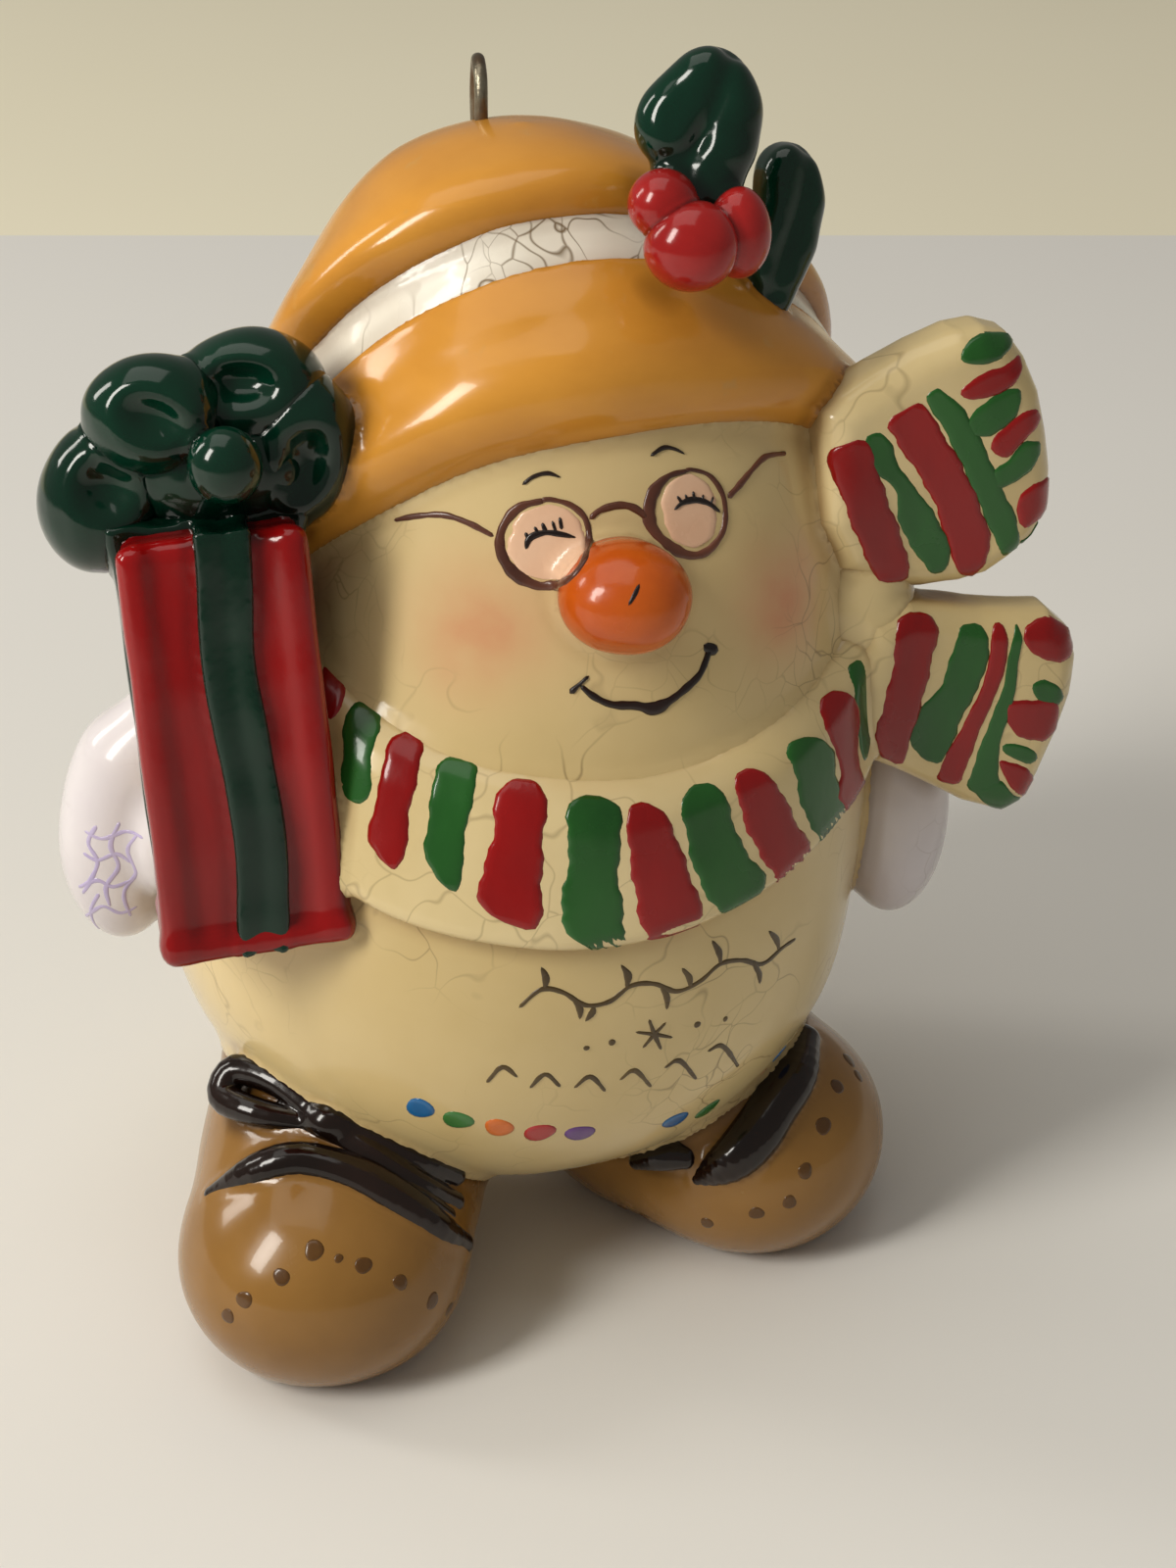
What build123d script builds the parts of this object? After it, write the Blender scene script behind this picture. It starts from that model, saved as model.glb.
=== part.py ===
from build123d import *
from copy import deepcopy
from math import sqrt
import os

# Hollow cast-ceramic hanging figure: bean-shaped body in a wrapped hat and a
# striped scarf, a tied gift under the right arm, lace-up shoes and a wire
# hanger set in the hat. mm, +Z up, the figure's toes and belly face -Y.
# The origin is the middle of the bounding box in plan, on the floor plane.

os.makedirs("parts", exist_ok=True)

# ---- driving dimensions -------------------------------------------------
SHIFT_X = -1.166       # body's centre line from the origin, in plan
SHIFT_Y = 0.572
WALL = 2.6             # cast wall of the body
VENT_D = 5.0           # vent and drain hole under the body
BRIM_T = 2.6           # hat brim stands off the head
BAND_T = 1.5           # recessed band round the hat
CROWN_T = 2.6          # rolled hat crown
SCARF_T = 1.6          # scarf stands off the body
SCARF_HALF = 3.41      # half the scarf's width
WIRE_R = 0.38          # hanger wire
HEM_Z = 44.5           # hat's lower edge at the sides and back

# horizontal sections of the body: radius, height, sideways lean of the centre
SECTIONS = [
    (6.0, 5.0, 0.0), (12.0, 6.9, 0.0), (17.4, 11.2, 0.0), (20.8, 17.0, 0.0),
    (22.0, 24.0, 0.0), (21.6, 31.0, 0.7), (20.1, 38.0, 2.0), (18.3, 45.0, 3.2),
    (16.5, 51.5, 3.7), (14.0, 57.0, 3.4), (10.6, 62.0, 2.6), (6.8, 65.6, 1.9),
    (3.4, 67.2, 1.6),
]
BRIM_AT = (-1.53, -15.74, 58.6)            # a point on the brim's front edge
BRIM_N = (0.0466, 0.6972, 0.7154)          # normal of that edge's plane
BAND_AT = (-0.33, -8.61, 63.8)             # a point on the band's lower edge
BAND_N = (0.08, 0.8074, 0.5846)
BAND_W = 2.3                               # visible width of the band
SCARF_AT = (0.0, 0.0, 43.4)
SCARF_N = (-0.0539, -0.3835, 0.922)


def at(x, y, z):
    return Vector(x + SHIFT_X, y + SHIFT_Y, z)


def rings(t, first=0, last=len(SECTIONS)):
    """The body's sections moved out by t along the profile's normal."""
    out = []
    n = len(SECTIONS)
    for i in range(first, last):
        r0, z0, c0 = SECTIONS[max(i - 1, 0)]
        r1, z1, c1 = SECTIONS[min(i + 1, n - 1)]
        r, z, c = SECTIONS[i]
        dr, dz = r1 - r0, z1 - z0
        k = sqrt(dr * dr + dz * dz)
        out.append((r + t * dz / k, z - t * dr / k, c))
    return out


def loft_rings(sections, mode=Mode.ADD):
    faces = []
    for r, z, c in sections:
        with BuildSketch(Plane(at(c, 0, z))) as ring:
            Circle(r)
        faces.append(ring.sketch.faces()[0])
    loft(sections=faces, mode=mode)


def along(point, axis):
    """Plane at point whose local Y runs along axis."""
    a = Vector(*axis).normalized()
    side = a.cross(Vector(0, 0, 1))
    if side.length < 0.05:
        side = Vector(1, 0, 0)
    side = side.normalized()
    return Plane(point, x_dir=side, z_dir=side.cross(a))


def oval(plane, radius, half_length, mode=Mode.ADD):
    """Egg shape: a sphere drawn out along the plane's local Y."""
    egg = scale(Sphere(1, mode=Mode.PRIVATE), by=(radius, half_length, radius), mode=Mode.PRIVATE)
    add(plane.location * egg, mode=mode)


def clear(*others):
    """Take the other pieces' volume out of the one being built."""
    for other in others:
        add(deepcopy(other.part), mode=Mode.SUBTRACT)


def cord(points, radius):
    """Round cord through the points."""
    pts = [at(*p) for p in points]
    with BuildLine() as path:
        Spline(*pts)
    line = path.line.edges()[0]
    with BuildSketch(Plane(line @ 0, z_dir=line % 0)) as end:
        Circle(radius)
    sweep(end.sketch.faces(), path=line)


# ---- body ---------------------------------------------------------------
with BuildPart() as core:                  # the body's outside, used as a cutter
    loft_rings(rings(0.0))

with BuildPart() as body_shell:
    loft_rings(rings(0.0))
    loft_rings(rings(-WALL), mode=Mode.SUBTRACT)
    with BuildSketch(Plane(at(0, 0, 0))):
        Circle(VENT_D / 2)
    extrude(amount=12, mode=Mode.SUBTRACT)

# ---- hat: brim, recessed band, rolled crown ------------------------------
brim_plane = Plane(at(*BRIM_AT), z_dir=BRIM_N)
band_plane = Plane(at(*BAND_AT), z_dir=BAND_N)
crown_plane = band_plane.offset(BAND_W)
hem_plane = Plane(at(0, 0, HEM_Z))
scarf_mid = Plane(at(*SCARF_AT), z_dir=SCARF_N)
scarf_top = scarf_mid.offset(SCARF_HALF)

with BuildPart() as hat_brim:
    loft_rings(rings(BRIM_T, 5))
    split(bisect_by=brim_plane, keep=Keep.TOP)
    split(bisect_by=band_plane, keep=Keep.BOTTOM)
    split(bisect_by=hem_plane, keep=Keep.TOP)
    split(bisect_by=scarf_top, keep=Keep.TOP)
    fillet(hat_brim.faces().sort_by(SortBy.AREA)[-1].edges(), 1.0)
    clear(core)

with BuildPart() as hat_band:
    loft_rings(rings(BAND_T, 5))
    split(bisect_by=band_plane, keep=Keep.TOP)
    split(bisect_by=crown_plane, keep=Keep.BOTTOM)
    split(bisect_by=hem_plane, keep=Keep.TOP)
    split(bisect_by=scarf_top, keep=Keep.TOP)
    clear(core)

with BuildPart() as hat_crown:
    loft_rings(rings(CROWN_T, 5))
    split(bisect_by=crown_plane, keep=Keep.TOP)
    split(bisect_by=hem_plane, keep=Keep.TOP)
    split(bisect_by=scarf_top, keep=Keep.TOP)
    fillet(hat_crown.faces().sort_by(SortBy.AREA)[-1].edges(), 1.0)
    clear(core)


# ---- nose ---------------------------------------------------------------
with BuildPart() as nose:
    oval(along(at(-0.52, -18.38, 49.3), (0.9135, -0.4067, 0.12)), 3.2, 3.6)
    clear(core)

# ---- scarf: wrap, knot and two flared tails -------------------------------
with BuildPart() as scarf_wrap:
    loft_rings(rings(SCARF_T, 3))
    split(bisect_by=scarf_mid.offset(SCARF_HALF), keep=Keep.BOTTOM)
    split(bisect_by=scarf_mid.offset(-SCARF_HALF), keep=Keep.TOP)
    fillet(scarf_wrap.faces().sort_by(SortBy.AREA)[-1].edges(), 0.8)
    clear(core)

with BuildPart() as scarf_knot:
    oval(along(at(17.0, -12.4, 42.6), (0, 0, 1)), 3.6, 4.8)
    clear(core, scarf_wrap, hat_brim)

TAIL_UP = Plane(at(21.3, -13.8, 51.4), x_dir=(0.9458, -0.0994, 0.309), z_dir=(-0.1045, -0.9945, 0.0))
TAIL_LOW = Plane(at(24.1, -15.0, 35.8), x_dir=(0.9794, -0.1029, -0.1736), z_dir=(-0.1045, -0.9945, 0.0))


def tail(plane, root_w, end_w, reach, thick):
    """Flared slab: narrow at the knot, wide at the free end."""
    with BuildSketch(plane) as flat:
        with BuildLine():
            Polyline((-reach / 2, -root_w / 2), (reach / 2, -end_w / 2),
                     (reach / 2, end_w / 2), (-reach / 2, root_w / 2), close=True)
        make_face()
        fillet(flat.vertices(), 2.2)
    extrude(flat.sketch.faces()[0], amount=thick / 2, both=True)


with BuildPart() as scarf_tail_upper:
    tail(TAIL_UP, 10.0, 12.8, 12.0, 4.8)
    fillet(scarf_tail_upper.faces().filter_by(GeomType.PLANE).sort_by(SortBy.AREA)[-2:].edges(), 1.6)
    clear(core, scarf_wrap, scarf_knot, hat_brim)

with BuildPart() as scarf_tail_lower:
    tail(TAIL_LOW, 12.4, 13.2, 11.6, 4.8)
    fillet(scarf_tail_lower.faces().filter_by(GeomType.PLANE).sort_by(SortBy.AREA)[-2:].edges(), 1.6)
    clear(core, scarf_wrap, scarf_knot, scarf_tail_upper)

# ---- shoes --------------------------------------------------------------
TOE_R = (-0.5299, -0.848, 0.0)             # where each toe points
TOE_L = (0.5299, -0.848, 0.0)
floor_plane = Plane(at(0, 0, 0))


def shoe(x, y, toe):
    oval(along(at(x, y, 6.0), toe), 8.9, 12.2)
    oval(along(at(x * 0.85, y * 0.45, 9.0), (0, 0, 1)), 8.2, 10.0)
    split(bisect_by=floor_plane, keep=Keep.TOP)


with BuildPart() as right_shoe:
    shoe(-15.5, -8.9, TOE_R)
    clear(core)

with BuildPart() as left_shoe:
    shoe(9.5, -8.3, TOE_L)
    clear(core, right_shoe)

with BuildPart() as right_lace_strap:
    cord([(-23.4, -10.6, 11.0), (-21.2, -12.1, 12.9), (-18.9, -13.2, 13.6), (-16.4, -14.9, 13.1),
          (-14.4, -16.3, 11.7), (-12.2, -17.0, 9.2), (-10.4, -16.3, 7.0)], 1.1)
    clear(core, right_shoe)

with BuildPart() as right_lace_bow:
    oval(along(at(-19.0, -8.4, 15.5), (-0.6, 0.75, 0.1)), 1.5, 3.6)
    oval(along(at(-16.6, -11.7, 15.0), (0.6, -0.6, -0.3)), 1.6, 2.2)
    oval(along(at(-12.9, -13.6, 12.9), (0.72, -0.18, -0.55)), 1.6, 4.2)
    clear(core, right_shoe, right_lace_strap)

with BuildPart() as left_lace_strap:
    cord([(5.9, -17.2, 7.4), (7.3, -17.9, 8.7), (8.7, -17.9, 9.8), (10.3, -17.4, 11.0), (12.6, -16.2, 12.0),
          (14.6, -13.6, 12.6)], 1.3)
    clear(core, left_shoe)

with BuildPart() as left_lace_end:
    cord([(2.6, -14.9, 7.9), (3.6, -15.4, 8.5), (4.6, -16.0, 8.5)], 0.9)
    clear(core, left_shoe, left_lace_strap)

# ---- mittens ------------------------------------------------------------
with BuildPart() as right_mitten:
    oval(along(at(-22.7, 7.9, 26.0), (0.08, 0, 1)), 4.1, 7.6)
    oval(along(at(-20.3, 6.8, 32.2), (0.25, 0, 1)), 3.2, 5.0)
    clear(core, scarf_wrap)

with BuildPart() as left_mitten:
    oval(along(at(22.6, -9.0, 25.5), (0, 0, 1)), 4.0, 7.0)
    clear(core, scarf_wrap, scarf_tail_lower)

# ---- gift: box, ribbon round it, bow on top -------------------------------
GIFT = Plane(at(-19.9, -8.2, 40.7), x_dir=(0.9789, -0.2013, 0.0343), z_dir=(0.0055, 0.1938, 0.981))
GIFT_W, GIFT_D, GIFT_H = 9.8, 8.0, 23.6
RIBBON_W, RIBBON_T = 3.2, 0.45

with BuildPart() as gift_box:
    with BuildSketch(GIFT.offset(-GIFT_H / 2)):
        RectangleRounded(GIFT_W, GIFT_D, 1.0)
    extrude(amount=GIFT_H)
    fillet(gift_box.faces().sort_by(Axis(GIFT.origin, GIFT.z_dir))[0].edges(), 0.8)
    fillet(gift_box.faces().sort_by(Axis(GIFT.origin, GIFT.z_dir))[-1].edges(), 0.8)
    clear(core, scarf_wrap, hat_brim, right_mitten)

with BuildPart() as gift_ribbon:
    with BuildSketch(GIFT.offset(-GIFT_H / 2 - RIBBON_T)):
        Rectangle(RIBBON_W, GIFT_D + 2 * RIBBON_T)
        Rectangle(GIFT_W + 2 * RIBBON_T, RIBBON_W)
    extrude(amount=GIFT_H + 2 * RIBBON_T)
    clear(core, scarf_wrap, hat_brim, right_mitten, gift_box)

BOW = (-19.6, -4.9, 54.8)


def loop(dx, dy, dz, axis, radius, half_length):
    oval(along(at(BOW[0] + dx, BOW[1] + dy, BOW[2] + dz), axis), radius, half_length)


taken = [core, hat_brim, hat_band, hat_crown, gift_box, gift_ribbon]
with BuildPart() as gift_bow_knot:
    loop(1.2, -4.2, -0.6, (0.2, 1, 0.3), 2.4, 2.5)
    clear(*taken)
taken.append(gift_bow_knot)

with BuildPart() as bow_loop_outer:
    loop(-4.2, -0.6, -2.6, (0.75, -0.2, 0.55), 3.6, 5.0)
    clear(*taken)
taken.append(bow_loop_outer)

with BuildPart() as bow_loop_top:
    loop(-1.6, -0.4, 3.0, (0.9, -0.3, 0.15), 3.7, 5.6)
    clear(*taken)
taken.append(bow_loop_top)

with BuildPart() as bow_loop_inner:
    loop(4.2, -1.6, 1.6, (0.35, -0.15, 0.9), 3.8, 5.2)
    clear(*taken)

# ---- holly on the hat -----------------------------------------------------
LEAF_FRONT = Plane(at(7.6, -10.0, 71.4), x_dir=(0.9135, -0.4067, 0.0), z_dir=(-0.3, -0.8, 0.52))
LEAF_REAR = Plane(at(13.4, -8.1, 64.6), x_dir=(0.9135, -0.4067, 0.0), z_dir=(0.25, -0.75, 0.5))


def leaf(plane, outline, thick):
    with BuildSketch(plane) as flat:
        with BuildLine():
            Spline(*outline, periodic=True)
        make_face()
    extrude(flat.sketch.faces()[0], amount=thick / 2, both=True)


with BuildPart() as holly_leaf_front:
    leaf(LEAF_FRONT, [(0.2, -4.6), (-2.3, -3.4), (-3.0, -1.4), (-2.9, 1.0), (-1.9, 3.2), (0.6, 4.4),
                      (2.6, 3.4), (3.1, 1.2), (2.7, -1.0), (2.6, -3.3)], 3.4)
    fillet(holly_leaf_front.edges(), 0.9)
    clear(core, hat_band, hat_brim, hat_crown)

with BuildPart() as holly_leaf_rear:
    leaf(LEAF_REAR, [(-0.2, -4.9), (-1.9, -2.4), (-2.1, 0.8), (-1.2, 3.8), (0.6, 4.9), (2.0, 3.4),
                     (2.3, 0.4), (1.6, -3.0)], 3.2)
    fillet(holly_leaf_rear.edges(), 0.4)
    clear(core, hat_band, hat_brim, hat_crown, holly_leaf_front)

under = [core, hat_band, hat_brim, hat_crown, holly_leaf_front, holly_leaf_rear]
with BuildPart() as berry_front:
    with Locations(at(5.4, -14.0, 66.4)):
        Sphere(2.4)
    clear(*under)
under.append(berry_front)

with BuildPart() as berry_side:
    with Locations(at(7.8, -13.3, 66.8)):
        Sphere(2.05)
    clear(*under)
under.append(berry_side)

with BuildPart() as berry_upper:
    with Locations(at(4.1, -12.2, 68.5)):
        Sphere(2.0)
    clear(*under)

# ---- hanger: one bent wire set in the crown --------------------------------
with BuildPart() as wire_hanger:
    cord([(0.3, 3.1, 64.0), (0.3, 3.1, 67.5), (0.35, 3.2, 70.0), (0.55, 3.7, 71.5), (0.95, 5.0, 72.1),
          (1.4, 6.3, 71.5), (1.55, 6.9, 70.0), (1.6, 7.0, 67.5), (1.6, 7.0, 64.0)], WIRE_R)
    clear(core)

with BuildPart() as hat_crown_bored:
    add(hat_crown.part)
    clear(wire_hanger)

# ---- names and files -------------------------------------------------------
body_shell.part.label = "body_shell"
export_step(body_shell.part, "parts/body_shell.step")
hat_brim.part.label = "hat_brim"
export_step(hat_brim.part, "parts/hat_brim.step")
hat_band.part.label = "hat_band"
export_step(hat_band.part, "parts/hat_band.step")
hat_crown_bored.part.label = "hat_crown"
export_step(hat_crown_bored.part, "parts/hat_crown.step")
nose.part.label = "nose"
export_step(nose.part, "parts/nose.step")
scarf_wrap.part.label = "scarf_wrap"
export_step(scarf_wrap.part, "parts/scarf_wrap.step")
scarf_knot.part.label = "scarf_knot"
export_step(scarf_knot.part, "parts/scarf_knot.step")
scarf_tail_upper.part.label = "scarf_tail_upper"
export_step(scarf_tail_upper.part, "parts/scarf_tail_upper.step")
scarf_tail_lower.part.label = "scarf_tail_lower"
export_step(scarf_tail_lower.part, "parts/scarf_tail_lower.step")
right_mitten.part.label = "right_mitten"
export_step(right_mitten.part, "parts/right_mitten.step")
left_mitten.part.label = "left_mitten"
export_step(left_mitten.part, "parts/left_mitten.step")
gift_box.part.label = "gift_box"
export_step(gift_box.part, "parts/gift_box.step")
gift_ribbon.part.label = "gift_ribbon"
export_step(gift_ribbon.part, "parts/gift_ribbon.step")
gift_bow_knot.part.label = "gift_bow_knot"
export_step(gift_bow_knot.part, "parts/gift_bow_knot.step")
bow_loop_outer.part.label = "bow_loop_outer"
export_step(bow_loop_outer.part, "parts/bow_loop_outer.step")
bow_loop_top.part.label = "bow_loop_top"
export_step(bow_loop_top.part, "parts/bow_loop_top.step")
bow_loop_inner.part.label = "bow_loop_inner"
export_step(bow_loop_inner.part, "parts/bow_loop_inner.step")
right_shoe.part.label = "right_shoe"
export_step(right_shoe.part, "parts/right_shoe.step")
left_shoe.part.label = "left_shoe"
export_step(left_shoe.part, "parts/left_shoe.step")
right_lace_strap.part.label = "right_lace_strap"
export_step(right_lace_strap.part, "parts/right_lace_strap.step")
right_lace_bow.part.label = "right_lace_bow"
export_step(right_lace_bow.part, "parts/right_lace_bow.step")
left_lace_strap.part.label = "left_lace_strap"
export_step(left_lace_strap.part, "parts/left_lace_strap.step")
left_lace_end.part.label = "left_lace_end"
export_step(left_lace_end.part, "parts/left_lace_end.step")
holly_leaf_front.part.label = "holly_leaf_front"
export_step(holly_leaf_front.part, "parts/holly_leaf_front.step")
holly_leaf_rear.part.label = "holly_leaf_rear"
export_step(holly_leaf_rear.part, "parts/holly_leaf_rear.step")
berry_front.part.label = "berry_front"
export_step(berry_front.part, "parts/berry_front.step")
berry_side.part.label = "berry_side"
export_step(berry_side.part, "parts/berry_side.step")
berry_upper.part.label = "berry_upper"
export_step(berry_upper.part, "parts/berry_upper.step")
wire_hanger.part.label = "wire_hanger"
export_step(wire_hanger.part, "parts/wire_hanger.step")
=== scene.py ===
import math

import bpy
import numpy as np
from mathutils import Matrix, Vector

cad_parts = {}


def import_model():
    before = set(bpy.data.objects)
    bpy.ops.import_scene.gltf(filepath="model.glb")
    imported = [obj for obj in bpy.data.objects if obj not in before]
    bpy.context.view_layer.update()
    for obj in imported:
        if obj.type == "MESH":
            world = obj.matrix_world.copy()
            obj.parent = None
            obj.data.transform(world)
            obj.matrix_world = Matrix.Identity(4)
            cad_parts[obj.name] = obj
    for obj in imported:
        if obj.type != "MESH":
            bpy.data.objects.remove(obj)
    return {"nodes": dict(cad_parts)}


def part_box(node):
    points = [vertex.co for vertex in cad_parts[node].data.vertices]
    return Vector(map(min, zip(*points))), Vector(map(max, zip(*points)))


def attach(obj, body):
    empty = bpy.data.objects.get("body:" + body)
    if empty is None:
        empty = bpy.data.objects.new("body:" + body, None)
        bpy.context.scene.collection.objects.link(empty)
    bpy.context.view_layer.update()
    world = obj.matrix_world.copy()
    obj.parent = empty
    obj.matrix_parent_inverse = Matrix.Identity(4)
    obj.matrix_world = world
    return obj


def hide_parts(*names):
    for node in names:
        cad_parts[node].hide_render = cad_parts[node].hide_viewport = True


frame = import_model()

import openvdb as vdb
from mathutils import Matrix, Vector

def unit(v):
    v = np.asarray(v, float)
    return v / np.linalg.norm(v)


def rotz(a):
    a = np.radians(a); c, s = np.cos(a), np.sin(a)
    return np.array([[c, -s, 0], [s, c, 0], [0, 0, 1.0]])


def rotx(a):
    a = np.radians(a); c, s = np.cos(a), np.sin(a)
    return np.array([[1.0, 0, 0], [0, c, -s], [0, s, c]])


def roty(a):
    a = np.radians(a); c, s = np.cos(a), np.sin(a)
    return np.array([[c, 0, s], [0, 1.0, 0], [-s, 0, c]])


def basis(axis, hint=(0, 0, 1)):
    """columns: side, other side, axis"""
    a = unit(axis); s = np.cross(hint, a)
    if np.linalg.norm(s) < 1e-3: s = np.cross((0, 1, 0), a)
    s = unit(s)
    return np.stack([s, np.cross(a, s), a], 1)


def ell(p, c, r, R=None):
    q = p - np.asarray(c, float)
    if R is not None: q = q @ R
    r = np.asarray(r, float)
    k0 = np.sqrt(((q / r) ** 2).sum(-1)); k1 = np.sqrt(((q / (r * r)) ** 2).sum(-1))
    return k0 * (k0 - 1.0) / np.maximum(k1, 1e-6)


def rbox(p, c, h, rad, R=None):
    q = p - np.asarray(c, float)
    if R is not None: q = q @ R
    d = np.abs(q) - (np.asarray(h, float) - rad)
    return np.sqrt((np.maximum(d, 0) ** 2).sum(-1)) + np.minimum(d.max(-1), 0) - rad


def rcone(p, a, b, r1, r2):
    a = np.asarray(a, float); b = np.asarray(b, float)
    ba = b - a; t = np.clip(((p - a) @ ba) / (ba @ ba), 0, 1)
    return np.sqrt(((p - a - t[..., None] * ba) ** 2).sum(-1)) - (r1 + (r2 - r1) * t)


def tube(p, pts, rad, k=0.0):
    pts = np.asarray(pts, float); rad = np.broadcast_to(np.asarray(rad, float), (len(pts),)); d = None
    C = catmull(np.hstack([pts, rad[:, None]]), 4); pts, rad, k = C[:, :3], C[:, 3], 0.0
    for i in range(len(pts) - 1):
        e = rcone(p, pts[i], pts[i + 1], rad[i], rad[i + 1])
        d = e if d is None else (smin(d, e, k) if k else np.minimum(d, e))
    return d


def smin(a, b, k):
    h = np.clip(0.5 + 0.5 * (b - a) / k, 0, 1)
    return b + (a - b) * h - k * h * (1 - h)


def smax(a, b, k):
    return -smin(-a, -b, k)


def sstep(a, b, x):
    t = np.clip((x - a) / (b - a), 0, 1)
    return t * t * (3 - 2 * t)


def wob(p, f, seed=0.0):
    """smooth hand-worked unevenness, about -1..1"""
    x, y, z = p[..., 0] * f, p[..., 1] * f, p[..., 2] * f; s = seed
    return (np.sin(x * 1.0 + 1.7 * np.sin(y * 0.7 + s) + s) + np.sin(y * 1.1 + 1.3 * np.sin(z * 0.9 + 2 * s) + 2.1)
            + np.sin(z * 0.95 + 1.5 * np.sin(x * 0.8 + s) + 4.2)) / 3.0


# ---- the body: circular sections on a leaning centre line (mm, figure's own frame)
SEC = np.array([(0, 4.6, 0), (6, 5.0, 0), (12, 6.9, 0), (17.4, 11.2, 0), (20.8, 17.0, 0), (22.0, 24.0, 0.0), (21.6, 31.0, 0.7),
                (20.1, 38.0, 2.0), (18.3, 45.0, 3.2), (16.5, 51.5, 3.7), (14.0, 57.0, 3.4), (10.6, 62.0, 2.6), (6.8, 65.6, 1.9), (3.4, 67.2, 1.6), (0, 67.7, 1.5)])


def catmull(P, n=12):
    P = np.asarray(P, float); Q = np.vstack([2 * P[0] - P[1], P, 2 * P[-1] - P[-2]]); out = []
    for i in range(1, len(Q) - 2):
        for t in np.linspace(0, 1, n, endpoint=False):
            a, b, c, d = Q[i - 1], Q[i], Q[i + 1], Q[i + 2]
            out.append(0.5 * ((2 * b) + (-a + c) * t + (2 * a - 5 * b + 4 * c - d) * t * t + (-a + 3 * b - 3 * c + d) * t ** 3))
    out.append(Q[-2]); return np.array(out)


_C = catmull(SEC)
_G = 0.2


def _table():
    rr = np.arange(0, 48, _G); zz = np.arange(-15, 100, _G)
    A, B = np.meshgrid(rr, zz, indexing="ij"); pts = np.stack([A, B], -1).reshape(-1, 2); best = np.full(len(pts), 1e9)
    C = _C[:, :2]
    for i in range(len(C) - 1):
        a, b = C[i], C[i + 1]; ba = b - a; t = np.clip(((pts - a) @ ba) / max(ba @ ba, 1e-9), 0, 1)
        best = np.minimum(best, ((pts - a - t[:, None] * ba) ** 2).sum(1))
    d = np.sqrt(best); rz = np.interp(pts[:, 1], C[:, 1], C[:, 0], left=-1, right=-1)
    return np.where(pts[:, 0] < rz, -d, d).reshape(A.shape)


_T = _table()


def lean(z): return np.interp(z, _C[:, 1], _C[:, 2])


def body(p):
    z = p[..., 2]; r = np.hypot(p[..., 0] - lean(z), p[..., 1])
    x = np.clip(r / _G, 0, _T.shape[0] - 1.001); y = np.clip((z + 15) / _G, 0, _T.shape[1] - 1.001)
    i = x.astype(int); j = y.astype(int); fx = x - i; fy = y - j
    return (_T[i, j] * (1 - fx) * (1 - fy) + _T[i + 1, j] * fx * (1 - fy) + _T[i, j + 1] * (1 - fx) * fy + _T[i + 1, j + 1] * fx * fy)


# ---- the head and hands are turned 24 degrees to the figure's right: side and toward axes
TURN = np.radians(24.0)
SIDE = np.array([np.cos(TURN), -np.sin(TURN), 0.0])
TOWARD = np.array([-np.sin(TURN), -np.cos(TURN), 0.0])
UP = np.array([0, 0, 1.0])
F3 = np.stack([SIDE, -TOWARD, UP], 1)


def loc(x, w, z): return x * SIDE + w * TOWARD + z * UP


def tilted(p, o, tilt, leanx, phi):
    t, l, f = np.radians(tilt), np.radians(leanx), np.radians(phi)
    fw = np.sin(f) * SIDE + np.cos(f) * TOWARD; sd = np.cos(f) * SIDE - np.sin(f) * TOWARD
    n = np.sin(l) * np.cos(t) * sd - np.sin(t) * fw + np.cos(l) * np.cos(t) * UP
    return (p - o) @ unit(n)


def band2(s, d, cs, cd, hs, hd, r):
    a = np.abs(s - cs) - (hs - r); b = np.abs(d - cd) - (hd - r)
    return np.hypot(np.maximum(a, 0), np.maximum(b, 0)) + np.minimum(np.maximum(a, b), 0) - r


def s_brim(p): return tilted(p, loc(5.0, 15.0, 58.6), 44.0, -6, 14)
def s_band(p): return tilted(p, loc(3.2, 8.0, 63.8), 54.0, -6, 14)


SCARF_N = unit((-0.0539, -0.3835, 0.922)); SCARF_O = np.array([0, 0, 43.4]); SCARF_H = 3.41
def s_scarf(p): return (p - SCARF_O) @ SCARF_N


def hem(p):
    return np.maximum(44.5 - p[..., 2], SCARF_H + 0.05 - s_scarf(p))


def d_body(p): return body(p) + 0.10 * wob(p, 0.42, 1.0)


def d_brim(p):
    b = body(p); s1 = s_brim(p); s2 = s_band(p)
    th = 2.0 + 0.75 * np.exp(-((s1 - 2.6) / 2.6) ** 2) - 0.5 * sstep(-3.0, 0.5, s2) + 0.16 * wob(p, 0.5, 3.0)
    d = smax(b - th, -(s1 + 0.25 * wob(p, 0.35, 5)), 2.4)
    return smax(smax(d, s2 - 0.1, 0.8), hem(p), 1.4)


def d_band(p):
    b = body(p); s2 = s_band(p)
    return np.maximum(band2(s2, b + 0.1 * wob(p, 0.8, 2), 1.3, 0.0, 1.75, 1.45, 0.4), hem(p))


def d_crown(p):
    b = body(p); s2 = s_band(p)
    th = 2.1 + 1.0 * np.exp(-((s2 - 4.6) / 3.2) ** 2) + 0.22 * wob(p, 0.38, 7.0)
    return smax(smax(b - th, 2.35 - s2, 2.6), hem(p), 1.6)


def d_nose(p):
    c = loc(7.0, 17.0, 49.3)
    return ell(p, c, (3.6, 3.4, 3.05), F3) + 0.12 * wob(p, 0.9, 4.0)


def d_scarf(p):
    b = body(p); s = s_scarf(p)
    return band2(s + 0.22 * wob(p, 0.33, 8), b - 0.12 * wob(p, 0.6, 9), 0, 0.0, SCARF_H + 0.15, 1.5, 1.15)


def d_knot(p): return ell(p, loc(20.6, 4.7, 42.6), (3.3, 3.2, 4.6), F3)


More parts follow.
